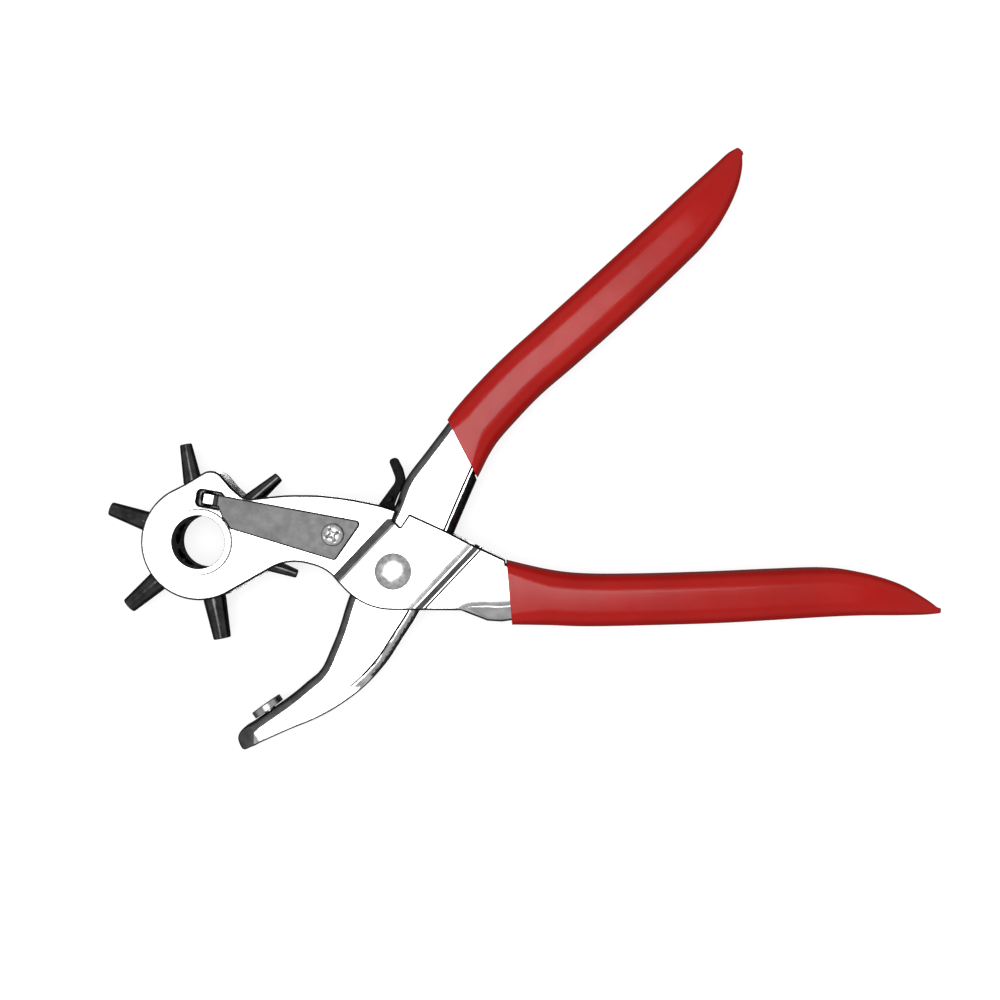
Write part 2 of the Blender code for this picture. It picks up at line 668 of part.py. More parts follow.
def make_screw(finish):
    """Pan-head screw with a cross recess."""
    under = CHEEK_H + 2 * GAP + LEAF_T
    profile = [(0.0, 1.9), (SCREW_R, 1.9), (SCREW_R, under), (3.1, under), (3.1, under + 0.6)]
    profile += [(2.6, under + 1.15), (1.6, under + 1.4), (0.0, under + 1.45)]
    screw = add_object("spring_screw", lathe(profile, at_mid(SCREW), (0, 0, 1), 24), finish, None)
    arms = []
    for turn in (20.0, 110.0):
        corners = [turned((SCREW[0] + a, SCREW[1] + b), turn, SCREW)
                   for a, b in ((1.5, 0.3), (-1.5, 0.3), (-1.5, -0.3), (1.5, -0.3))]
        arm = plate(corners, under + 0.6, under + 3.0)
        arms.append(add_object("cut_recess_%d" % turn, arm, finish, None))
    cut(screw, arms)


def make_nut(finish):
    """Hexagon nut behind the front cheek."""
    high = CHEEK_H - SHEET - GAP
    hexagon = circle(SCREW, 3.1, 6)
    nut = plate(hexagon, high - 2.0, high, [circle(SCREW, SCREW_R + GAP, 12)])
    add_object("spring_nut", nut, finish, None)


# ---- the catch -----------------------------------------------------------------------------
def make_catch(finish, axis):
    """Thumb lever beside the anvil lever's web; its cross lugs drop into the cheeks' notches."""
    outline = rounded([
        (-3.2, 20.3, 1.0), (-5.0, 17.8, 0.8), (-4.6, 14.6, 2.0), (4.6, 9.6, 2.2),
        (8.4, 12.6, 2.2), (5.6, 15.8, 2.0), (-0.4, 17.9, 0.8), (0.65, 20.7, 3.0),
        (3.0, 25.4, 2.0), (2.2, 28.6, 4.0), (0.5, 31.9, 1.1), (-1.8, 31.0, 1.0),
        (0.4, 25.2, 2.5)])
    bm = plate(outline, -CATCH_H, CATCH_H, [circle(CATCH_PIVOT, CATCH_PIN_R + GAP, 12)])
    catch = add_object("lock_catch", bm, finish, axis)
    lugs = cylinder(at_mid(LUG), (0, 0, 1), LUG_R, -LUG_H, LUG_H, 12)
    bar = add_object("cut_catch_lugs", lugs, finish, axis)
    bar.hide_render = True
    bar.display_type = "WIRE"
    union = catch.modifiers.new("lugs", "BOOLEAN")
    union.operation = "UNION"
    union.object = bar


def make_catch_pin(finish, axis):
    pin = cylinder(at_mid(CATCH_PIVOT), (0, 0, 1), CATCH_PIN_R, -CHANNEL_H, CHANNEL_H, 14)
    add_object("catch_pin", pin, finish, axis)


# ---- grips ---------------------------------------------------------------------------------
def section(centre, half_width, half_height, corner):
    """Sixteen points round a rounded rectangle, as (across, height)."""
    points = []
    for quarter, (sx, sy) in enumerate(((1, 1), (-1, 1), (-1, -1), (1, -1))):
        middle = (centre + sx * (half_width - corner), sy * (half_height - corner))
        points += arc(middle, corner, 90.0 * quarter, 90.0 * (quarter + 1), 3)
    return points


def grip_section(stations, s, lean, wall):
    """Grip points at a station, inset by wall, as (along, across, height)."""
    low, high = interpolate(stations, s)
    middle = (low + high) / 2
    half = (high - low) / 2
    thick = GRIP_H * (1.0 - 0.85 * blend(s, stations[-1][0] - 26.0, stations[-1][0] + 5.0) ** 2)
    if wall:
        flat = section(middle, half - wall, CHEEK_H + GAP, 0.6)
    else:
        share = blend(s, stations[0][0], stations[1][0])
        corner = MOUTH_ROUND + (GRIP_ROUND - MOUTH_ROUND) * share
        flat = section(middle, half, thick, corner * min(half, thick))
    return [(s + lean * (across - middle), across, height) for across, height in flat]


def make_grip(name, stations, angle, lean, pocket_end, finish, axis):
    """A closed sleeve: outside from mouth to tip, then the pocket back to the mouth."""
    mouth = stations[0][0]
    wall = TAIL_CLEAR - GAP
    rings = [grip_section(stations, mouth, lean, 0.0)]
    rings += [grip_section(stations, s, 0.0, 0.0) for s, _, _ in stations[1:]]
    tip = max(p[0] for p in rings[-1]) + 1.4
    inner_at = [pocket_end] + [s for s, _, _ in reversed(stations[1:]) if s < pocket_end - 4.0]
    pocket = [grip_section(stations, s, 0.0, wall) for s in inner_at]
    pocket.append(grip_section(stations, mouth, lean, MOUTH_WALL))

    def placed(point):
        x, y = turned(point[:2], angle)
        return (x, y, MID_Z + point[2])

    bm = bmesh.new()
    low, high = stations[-1][1:]
    nose = bm.verts.new(placed((tip, (low + high) / 2, 0.0)))
    end_low, end_high = interpolate(stations, pocket_end)
    bottom = bm.verts.new(placed((pocket_end, (end_low + end_high) / 2, 0.0)))
    loops = [[bm.verts.new(placed(p)) for p in ring] for ring in rings[::-1]]
    loops += [[bm.verts.new(placed(p)) for p in ring] for ring in pocket[::-1]]
    count = len(loops[0])
    for i in range(count):
        j = (i + 1) % count
        bm.faces.new((nose, loops[0][i], loops[0][j]))
        bm.faces.new((bottom, loops[-1][j], loops[-1][i]))
        for ring, following in zip(loops, loops[1:]):
            bm.faces.new((ring[i], following[i], following[j], ring[j]))
    add_object(name, bm, finish, axis, 50.0)


# ---- the whole tool ------------------------------------------------------------------------
def main():
    for item in list(bpy.data.objects):
        bpy.data.objects.remove(item)
    finish = all_materials()
    pivot_axis = add_axis("handle_pivot_axis", (0.0, 0.0))
    wheel_axis = add_axis("wheel_axis", HUB)
    catch_axis = add_axis("catch_axis", CATCH_PIVOT)

    make_wheel_lever(finish["nickel"])
    make_anvil_lever(finish["nickel"], pivot_axis)
    make_anvil(finish["anvil"], pivot_axis)
    make_wheel(finish["black"], wheel_axis)
    for number, size in enumerate(PUNCH_SIZES):
        make_punch(size, number, finish["black"], wheel_axis)
    make_eyelet("hub_eyelet_front", 1, finish["nickel"])
    make_eyelet("hub_eyelet_back", -1, finish["nickel"])
    make_pivot_rivet(finish["bright"])
    make_pivot_bush(finish["bright"], pivot_axis)
    make_opening_spring(finish["leaf"])
    make_index_spring(finish["leaf"])
    make_screw(finish["bright"])
    make_nut(finish["bright"])
    make_catch(finish["black"], catch_axis)
    make_catch_pin(finish["bright"], pivot_axis)
    make_grip("lower_grip", LOWER_GRIP, 0.0, LOWER_MOUTH_LEAN, TAIL_END_LOWER + GAP,
              finish["grip"], None)
    make_grip("upper_grip", UPPER_GRIP, GRIP_ANGLE, UPPER_MOUTH_LEAN, TAIL_END_UPPER + GAP,
              finish["grip"], pivot_axis)


main()
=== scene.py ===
"""Looks for a rotary hole punch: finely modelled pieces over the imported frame, in millimetres.

Each piece is drawn like its CAD solid, with rounded edges, true bends and node materials.
"Height" is the distance from the tool's mid-plane, at z = MID_Z.
"""

from math import acos, atan2, cos, degrees, pi, radians, sin, sqrt, tan

import bmesh
import bpy
import numpy as np
from mathutils import Matrix, Vector
from mathutils.geometry import delaunay_2d_cdt

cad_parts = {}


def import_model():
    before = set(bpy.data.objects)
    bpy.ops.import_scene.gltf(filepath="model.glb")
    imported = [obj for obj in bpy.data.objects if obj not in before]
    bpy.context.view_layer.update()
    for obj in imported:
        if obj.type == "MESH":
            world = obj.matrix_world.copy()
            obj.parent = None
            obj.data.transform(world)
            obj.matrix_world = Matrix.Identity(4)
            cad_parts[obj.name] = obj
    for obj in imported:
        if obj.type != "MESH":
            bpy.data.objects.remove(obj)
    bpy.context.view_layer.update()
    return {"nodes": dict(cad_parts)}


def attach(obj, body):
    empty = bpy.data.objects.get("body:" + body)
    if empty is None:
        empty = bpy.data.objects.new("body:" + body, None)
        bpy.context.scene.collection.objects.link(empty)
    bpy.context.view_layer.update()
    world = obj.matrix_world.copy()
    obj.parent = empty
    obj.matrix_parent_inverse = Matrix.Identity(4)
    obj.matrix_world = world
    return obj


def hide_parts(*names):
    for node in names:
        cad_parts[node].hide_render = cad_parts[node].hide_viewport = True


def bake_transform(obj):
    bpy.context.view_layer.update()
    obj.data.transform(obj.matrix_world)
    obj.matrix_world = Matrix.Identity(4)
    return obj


MM = 0.001
MID_Z = 9.0
GAP = 0.3

ROOT = "wheel_lever_body"
SWING = "anvil_lever_body"
WHEEL = "wheel_body"
CATCH = "catch_body"

# ---- driving dimensions, millimetres and degrees, as in the CAD model ---------------------
SHEET = 1.8
CHEEK_H = 6.7
RAISE = 1.2
RAISE_DIRECTION = -43.4
WEB = 1.6
WEB_STEP = 0.4

CHANNEL_H = 5.8
CHANNEL_WALL = 1.6
CORNER = 2.0
LIP_DEPTH = 1.8
LIP_ENDS_Y = (-33.0, -29.0)
NOSE_X = -38.8
NOSE_SLOPE = 0.75

HUB = (-53.85, 8.1)
WHEEL_R = 14.8
WHEEL_H = 4.6
BORE_R = 7.35
COLLAR_R = 8.35
COLLAR_H = 3.8
FLANGE_R = 9.1
FLANGE_H = 7.8
PUNCH_SIZES = (4.5, 2.0, 2.5, 3.0, 3.5, 4.0)
WORKING_PUNCH_ANGLE = -79.3
PUNCH_PITCH = 60.0
PUNCH_TIP = 27.8
SHANK_R = 2.9
DETENT_RADIUS = 12.1
DETENT_ANGLE = 81.0
DETENT_R = 2.1
DETENT_DEPTH = 1.0

CLOSING_ANGLE = 24.0
ANVIL_R = 4.6
ANVIL_T = 1.9
ANVIL_SHANK_R = 1.7

PIVOT_R = 3.0
PIVOT_HEAD_R = 5.1
CATCH_PIVOT = (5.4, 13.0)
CATCH_H = 1.5
CATCH_PIN_R = 1.0
LUG = (-1.3, 20.0)
LUG_R = 1.0
LUG_H = 7.6
LEAF_T = 0.8
TONGUE_START = (-48.1, 19.4)
TONGUE_DIRECTION = 170.0
TONGUE_HALF = 1.7
TONGUE_FLAT = 2.1
SCREW = (-16.7, 10.15)
SCREW_R = 1.3
WIRE_R = 0.6
COIL_R = 4.9
COIL_TURNS = 4.297

GRIP_H = 9.0
GRIP_ANGLE = 44.1
LOWER_GRIP = (
    (32.1, -14.9, 2.7), (43.6, -15.2, 0.0), (54.0, -15.5, -1.1), (70.0, -15.2, -1.1),
    (90.0, -14.6, -0.5), (106.0, -13.7, 0.2), (121.0, -12.8, 0.6), (131.0, -12.4, -0.6),
    (140.8, -12.4, -3.6), (148.0, -12.3, -7.6), (152.0, -12.0, -10.4),
)
UPPER_GRIP = (
    (37.4, 2.7, 19.8), (44.5, 5.7, 20.7), (54.5, 6.7, 21.4), (64.7, 7.0, 21.5),
    (78.0, 6.2, 21.0), (98.5, 5.4, 20.3), (118.0, 5.1, 19.7), (128.0, 5.4, 19.5),
    (136.0, 7.2, 19.3), (143.0, 9.9, 19.1), (148.0, 13.0, 19.0), (150.6, 15.6, 18.4),
)
LOWER_MOUTH_LEAN = -0.09
UPPER_MOUTH_LEAN = 0.3
TAIL_CLEAR = 1.65
MOUTH_WALL = 0.6
MOUTH_ROUND = 0.38
GRIP_ROUND = 0.68
TAIL_END_LOWER = 136.0
TAIL_END_UPPER = 136.0

# ---- fine shape, only in this model --------------------------------------------------------
CHEEK_EDGE = 0.7
CHANNEL_EDGE = 0.5
LEAF_EDGE = 0.35
# Share of a rounded edge, from the outline in, painted near-black as a dark outline (painted shade).
PAINTED_RIM_SHARE = 0.7
SHARP_ANGLE = 38.0

# (place, slope) profiles of the pressed steps: across the rising and the falling joggle, and
# in from the facet's edge
FACET_SLOPE = 0.88
RISE_SLOPES = ((-11.3, 0.0), (-11.25, 1.2), (-11.05, 1.2), (-11.0, 0.5), (-9.6, 0.42),
               (-8.7, 0.16), (-7.9, 0.0))
FALL_SLOPES = ((9.0, 0.0), (9.6, 0.10), (11.0, 0.15), (11.05, 0.0), (11.4, 0.0), (11.45, 0.72),
               (12.85, 0.72), (12.9, 0.0), (13.2, 0.0), (13.25, 0.4), (13.7, 0.4), (13.75, 0.0))
FACET_SLOPES = ((0.0, FACET_SLOPE), (4.15, FACET_SLOPE), (4.2, 0.0), (4.5, 0.0), (4.55, 0.22),
                (5.2, 0.16), (6.4, 0.0))
CREASE_STEP = 0.5
# Where painted shade goes on the joggles: FACET_BAND keeps it off the facet, the two bands get the
# dark-nickel slot and the line the near-black slot.
FACET_BAND = 5.0
RISE_SHADE_BAND = (-11.35, -8.65)
FALL_SHADE_BAND = (11.35, 12.95)
FALL_SHADE_LINE = (13.235, 13.715)
RAISE_TOP = (13.2, 14.5)
RAISE_TOP_CREASES = (12.8, 13.2, 13.6, 14.1, 14.5, 14.9)

# The anvil lever's lip rolls over inside LIP_ROLL of its edge, and a groove runs beside it.
CORNER_ROUND = 2.5
LIP_ROLL = 1.95
LIP_R = 6.5
LIP_LEAN = 0.55
# Painted shade along the lip: near-black above LIP_DARK_Y, and a dark-nickel line LIP_LINE wide
# below it.
LIP_DARK_Y = 5.0
LIP_LINE = 1.0
GROOVE = 2.95
GROOVE_WIDTH = 0.6
GROOVE_DEPTH = 0.24

# The grips get thinner over the last stretch, and their tips are closed by a small dome.
TAPER_START = 26.0
TAPER_LENGTH = 31.0
TAPER = 0.85
TIP_REACH = 1.4
TIP_RINGS = 7

CAMERA_AT = (29.53, 19.73, 394.9)
CAMERA_LENS = 49.3
CAMERA_SENSOR = 36.0


# ---- plane geometry ------------------------------------------------------------------------
def polar(centre, radius, angle):
    return (centre[0] + radius * cos(radians(angle)), centre[1] + radius * sin(radians(angle)))


def heading(angle):
    return (cos(radians(angle)), sin(radians(angle)), 0.0)


def turned(point, angle, centre=(0.0, 0.0)):
    """The point after a turn by angle degrees about centre."""
    x = point[0] - centre[0]
    y = point[1] - centre[1]
    c = cos(radians(angle))
    s = sin(radians(angle))
    return (centre[0] + c * x - s * y, centre[1] + s * x + c * y)


def arc(centre, radius, start, end, steps):
    return [polar(centre, radius, start + (end - start) * i / steps) for i in range(steps + 1)]


def circle(centre, radius, steps):
    return arc(centre, radius, 0.0, 360.0, steps)[:-1]


def rounded(corners, step=6.0):
    """A closed outline through (x, y, fillet radius) corners, each fillet a run of short edges."""
    outline = []
    count = len(corners)
    for i, (x, y, radius) in enumerate(corners):
        here = Vector((x, y))
        before = (Vector(corners[i - 1][:2]) - here).normalized()
        after = (Vector(corners[(i + 1) % count][:2]) - here).normalized()
        opening = acos(max(-1.0, min(1.0, before.dot(after))))
        if radius == 0.0 or pi - opening < 0.01:
            outline.append((x, y))
            continue
        reach = radius / tan(opening / 2)
        centre = here + (before + after).normalized() * (radius / sin(opening / 2))
        start = here + before * reach - centre
        end = here + after * reach - centre
        first = atan2(start.y, start.x)
        sweep = (atan2(end.y, end.x) - first + pi) % (2 * pi) - pi
        steps = max(2, round(abs(degrees(sweep)) / step))
        for k in range(steps + 1):
            outline.append(polar(centre, radius, degrees(first + sweep * k / steps)))
    return outline


def smooth(points, pieces):
    """A smooth open line through the points (Catmull-Rom), each stretch in equal pieces."""
    ends = [points[0]] + list(points) + [points[-1]]
    line = []
    for a, b, c, d in zip(ends, ends[1:], ends[2:], ends[3:]):
        for k in range(pieces):
            t = k / pieces
            line.append(tuple(
                0.5 * (2 * q + (r - p) * t + (2 * p - 5 * q + 4 * r - s) * t * t
                       + (3 * q - p - 3 * r + s) * t ** 3)
                for p, q, r, s in zip(a, b, c, d)))
    return line + [points[-1]]


def offset(line, distance, closed=False):
    """The line moved sideways, to the left of its direction when distance is positive."""
    around = list(zip(line, line[1:] + line[:1]))
    ways = [(Vector(b) - Vector(a)).normalized() for a, b in around]
    if not closed:
        ways = ways[:-1]
        before_after = zip(ways[:1] + ways, ways + ways[-1:])
    else:
        before_after = zip(ways[-1:] + ways[:-1], ways)
    moved = []
    for (x, y), (before, after) in zip(line, before_after):
        along = (before + after).normalized()
        reach = distance / max(0.6, along.dot(after))
        moved.append((x - along.y * reach, y + along.x * reach))
    return moved


def distances(points, line):
    """The shortest distance from each point to an open line."""
    best = np.full(len(points), 1e9)
    for a, b in zip(np.array(line[:-1], float), np.array(line[1:], float)):
        way = b - a
        t = np.clip(((points - a) @ way) / max(way @ way, 1e-12), 0.0, 1.0)
        best = np.minimum(best, np.hypot(*(points - a - t[:, None] * way).T))
    return best


def inside(points, loop):
    """Which points lie inside a closed loop."""
    x, y = points.T
    found = np.zeros(len(points), bool)
    for (ax, ay), (bx, by) in zip(loop, loop[1:] + loop[:1]):
        if ay == by:
            continue
        crosses = (ay > y) != (by > y)
        found ^= crosses & (x < (bx - ax) * (y - ay) / (by - ay) + ax)
    return found


def signed_area(loop):
    return 0.5 * sum(a[0] * b[1] - b[0] * a[1] for a, b in zip(loop, loop[1:] + loop[:1]))


def ramp(value, low, high, soft=0.35):
    """0 below low, 1 above high, straight in between with both corners rounded."""
    def bend(x):
        return np.where(x < -soft, 0.0, np.where(x > soft, x, (x + soft) ** 2 / (4 * soft)))
    return (bend(value - low) - bend(value - high)) / (high - low)


def sloped(knots):
    """Heights along a line from (place, slope that starts there) pairs; flat before and after."""
    places = [knots[0][0]]
    heights = [0.0]
    for (a, slope_a), (b, slope_b) in zip(knots, knots[1:]):
        for k in range(1, 9):
            t = (k - 0.5) / 8.0
            places.append(a + (b - a) * k / 8.0)
            heights.append(heights[-1] + (slope_a + (slope_b - slope_a) * t) * (b - a) / 8.0)
    return places, heights


def between(values, band):
    return (values > band[0]) & (values < band[1])


def interpolate(stations, at):
    """The (lower, upper) edges of a grip at a distance along it, straight between stations."""
    for (s0, low0, high0), (s1, low1, high1) in zip(stations, stations[1:]):
        if at <= s1:
            t = max(0.0, min(1.0, (at - s0) / (s1 - s0)))
            return (low0 + (low1 - low0) * t, high0 + (high1 - high0) * t)
    return stations[-1][1:]


# ---- meshes --------------------------------------------------------------------------------
# Material slots of a sheet piece; its plated faces have slot 0. Slot 1 is the near-black cut walls
# and painted dark lines along rims, joggles and lips; slot 2 is painted shade on bends and corners.
CUT_AND_SHADE_LINES = 1
SHADE_SLOT = 2


def linked(name, data):
    """An object in the scene with this data."""
    made = bpy.data.objects.new(name, data)
    bpy.context.scene.collection.objects.link(made)
    return made


def mesh_of(name, bm):
    """A mesh in metres, with its faces pointing out, from a bmesh in millimetres."""
    bm.normal_update()
    bmesh.ops.recalc_face_normals(bm, faces=bm.faces)
    for vert in bm.verts:
        vert.co = vert.co * MM
    mesh = bpy.data.meshes.new(name)
    bm.to_mesh(mesh)
    bm.free()
    return mesh


def piece(name, bm, body, materials, sharp=SHARP_ANGLE, weighted=True):
    """A finished object from a bmesh in millimetres; it rides on a CAD body."""
    mesh = mesh_of(name, bm)
    mesh.shade_smooth()
    mesh.set_sharp_from_angle(angle=radians(sharp))
    for one in materials:
        mesh.materials.append(one)
    made = linked(name, mesh)
    if weighted:
        normals = made.modifiers.new("weighted_normals", "WEIGHTED_NORMAL")
        normals.keep_sharp = True
        normals.weight = 90
    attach(made, body)
    return made


def edge_drop(distance, radius):
    """How far a rounded edge has fallen away at a distance in from the edge."""
    d = np.clip(distance, 0.0, radius)
    return radius - np.sqrt(np.maximum(radius ** 2 - (radius - d) ** 2, 0.0))


def triangulate(loops, creases):
    """Points and triangles of the plane that keep every loop and crease as edges."""
    points = []
    edges = []
    for closed, lines in ((True, loops), (False, creases)):
        for line in lines:
            first = len(points)
            points += [Vector(p) for p in line]
            edges += [(first + i, first + i + 1) for i in range(len(line) - 1)]
            if closed:
                edges.append((len(points) - 1, first))
    result = delaunay_2d_cdt(points, edges, [], 0, 1e-3)
    return np.array([tuple(p) for p in result[0]]), np.array(result[2])


def round_rings(loop, radius, hole):
    """Loops just inside an outline, or just outside a hole, where its rounded edge is drawn."""
    inward = 1.0 if (signed_area(loop) > 0.0) != hole else -1.0
    return [offset(loop, inward * radius * part, True) for part in (0.12, 0.35, 0.65, 1.0)]


def plane_mesh(loops, edge, creases, borders=()):
    """Points, triangles and triangle middles of an outline (the first loop) less its holes."""
    drawn = list(loops)
    for number, loop in enumerate(loops):
        drawn += round_rings(loop, edge, number > 0)
    points, triangles = triangulate(drawn + list(borders), creases)
    middles = points[triangles].mean(axis=1)
    keep = inside(middles, loops[0])
    for hole in loops[1:]:
        keep &= ~inside(middles, hole)
    used, numbers = np.unique(triangles[keep], return_inverse=True)
    return points[used], numbers.reshape(-1, 3), middles[keep]


def from_rim(points, loops):
    """The distance from each point to the nearest outline or hole."""
    rim = np.full(len(points), 1e9)
    for loop in loops:
        rim = np.minimum(rim, distances(points, loop + loop[:1]))
    return rim


def skin(bm, plane, heights):
    return [bm.verts.new((x, y, MID_Z + h)) for (x, y), h in zip(plane, heights)]


def close_rim(bm, upper, lower, triangles):
    """Walls of cut metal between two skins, wherever a triangle has no neighbour."""
    count = {}
    for a, b, c in triangles:
        for pair in ((a, b), (b, c), (c, a)):
            key = tuple(sorted(pair))
            count[key] = count.get(key, 0) + 1
    for (a, b), times in count.items():
        if times == 1:
            wall = bm.faces.new((upper[a], upper[b], lower[b], lower[a]))
            wall.material_index = CUT_AND_SHADE_LINES


def surfaces(bm, loops, creases, top, low, side, edge):
    """One wall of sheet, on the side 1 or -1; top and low give its heights at the points."""
    plane, triangles, _ = plane_mesh(loops, edge, creases)
    rim = from_rim(plane, loops)
    highs = top(plane) - edge_drop(rim, edge)
    lows = low(plane)
    closed = lows <= 0.0
    upper = skin(bm, plane, side * highs)
    lower = skin(bm, plane, side * np.where(closed, 0.0, lows))
    for a, b, c in triangles:
        face = bm.faces.new((upper[a], upper[b], upper[c]))
        # Painted shade: the outer part of the rounded rim gets the near-black slot, drawn as a dark
        # outline.
        if max(rim[a], rim[b], rim[c]) < PAINTED_RIM_SHARE * edge:
            face.material_index = CUT_AND_SHADE_LINES
        if not (closed[a] and closed[b] and closed[c]):
            bm.faces.new((lower[c], lower[b], lower[a]))
    close_rim(bm, upper, lower, triangles)


def folded(outline, creases, outer, inner, holes, front_holes, edge):
    """A sheet folded over the mid-plane, as two mirrored walls."""
    bm = bmesh.new()
    surfaces(bm, [outline] + holes + front_holes, creases, outer, inner, 1, edge)
    surfaces(bm, [outline] + holes, creases, outer, inner, -1, edge)
    loose = [v for v in bm.verts if not v.link_faces]
    bmesh.ops.delete(bm, geom=loose, context="VERTS")
    level = [v for v in bm.verts if abs(v.co.z - MID_Z) < 1e-6]
    bmesh.ops.remove_doubles(bm, verts=level, dist=1e-4)
    return bm


def darken(bm, chosen, slot=CUT_AND_SHADE_LINES):
    """Paint shade: give a darker material to the plated faces whose middles and tilts are chosen."""
    bm.normal_update()
    faces = [face for face in bm.faces if face.material_index == 0]
    middles = np.array([tuple(face.calc_center_median())[:2] for face in faces])
    tilts = np.array([1.0 - abs(face.normal.z) for face in faces])
    for face, dark in zip(faces, chosen(middles, tilts)):
        if dark:
            face.material_index = slot


def plate(outline, low, high, holes=(), creases=(), line=0.0):
    """A closed plate between two heights; within line of its rounded edge, it gets the near-black
    slot as a painted dark outline.
    """
    def both(value):
        return value if callable(value) else (lambda points: np.full(len(points), value))
    loops = [outline] + list(holes)
    line = max(line, PAINTED_RIM_SHARE * LEAF_EDGE)
    inward = line if signed_area(outline) > 0.0 else -line
    borders = [offset(outline, inward * 0.98, True)] if line > LEAF_EDGE else []
    plane, triangles, middles = plane_mesh(loops, LEAF_EDGE, creases, borders)
    drop = edge_drop(from_rim(plane, loops), LEAF_EDGE)
    bm = bmesh.new()
    upper = skin(bm, plane, both(high)(plane) - drop)
    lower = skin(bm, plane, both(low)(plane) + drop)
    for (a, b, c), reach in zip(triangles, from_rim(middles, loops)):
        face = bm.faces.new((upper[a], upper[b], upper[c]))
        under = bm.faces.new((lower[c], lower[b], lower[a]))
        # Painted shade: faces within line of the rim get the near-black slot.
        if reach < line:
            face.material_index = under.material_index = CUT_AND_SHADE_LINES
    close_rim(bm, upper, lower, triangles)
    return bm


def lathe(profile, place, axis, steps):
    """A turned piece: (radius, distance along the axis) points, as one closed profile."""
    bm = bmesh.new()
    verts = [bm.verts.new((radius, 0.0, along)) for radius, along in profile]
    pairs = list(zip(verts, verts[1:] + verts[:1]))
    edges = [bm.edges.new(pair) for pair in pairs if max(v.co.x for v in pair) > 0.0]
    bmesh.ops.spin(bm, geom=edges, cent=(0, 0, 0), axis=(0, 0, 1), angle=2 * pi, steps=steps,
                   use_merge=True)
    bmesh.ops.remove_doubles(bm, verts=bm.verts, dist=1e-4)
    turn = Vector((0, 0, 1)).rotation_difference(Vector(axis)).to_matrix().to_4x4()
    bm.transform(Matrix.Translation(Vector(place)) @ turn)
    return bm


def soften(profile, radius, sharp=()):
    """A turned profile with each corner rounded, except those on the axis or listed."""
    corners = []
    for i, (r, along) in enumerate(profile):
        corners.append((r, along, 0.0 if r == 0.0 or i in sharp else radius))
    return rounded(corners, 15.0)


def at_mid(point, height=0.0):
    return (point[0], point[1], MID_Z + height)


def block(corners, low, high):
    """A solid between two heights over convex corners."""
    bm = bmesh.new()
    for height in (low, high):
        for x, y in corners:
            bm.verts.new((x, y, MID_Z + height))
    bmesh.ops.convex_hull(bm, input=bm.verts)
    return bm


def cut_away(target, bm):
    """Take a solid out of an object at once, and drop the cutter."""
    cutter = linked("cutter", mesh_of("cutter", bm))
    modifier = target.modifiers.new("cut", "BOOLEAN")
    modifier.operation = "DIFFERENCE"
    modifier.solver = "EXACT"
    modifier.object = cutter
    shown = bpy.context.evaluated_depsgraph_get()
    mesh = bpy.data.meshes.new_from_object(target.evaluated_get(shown))
    target.modifiers.remove(modifier)
    old = target.data
    target.data = mesh
    bpy.data.meshes.remove(old)
    bpy.data.objects.remove(cutter)


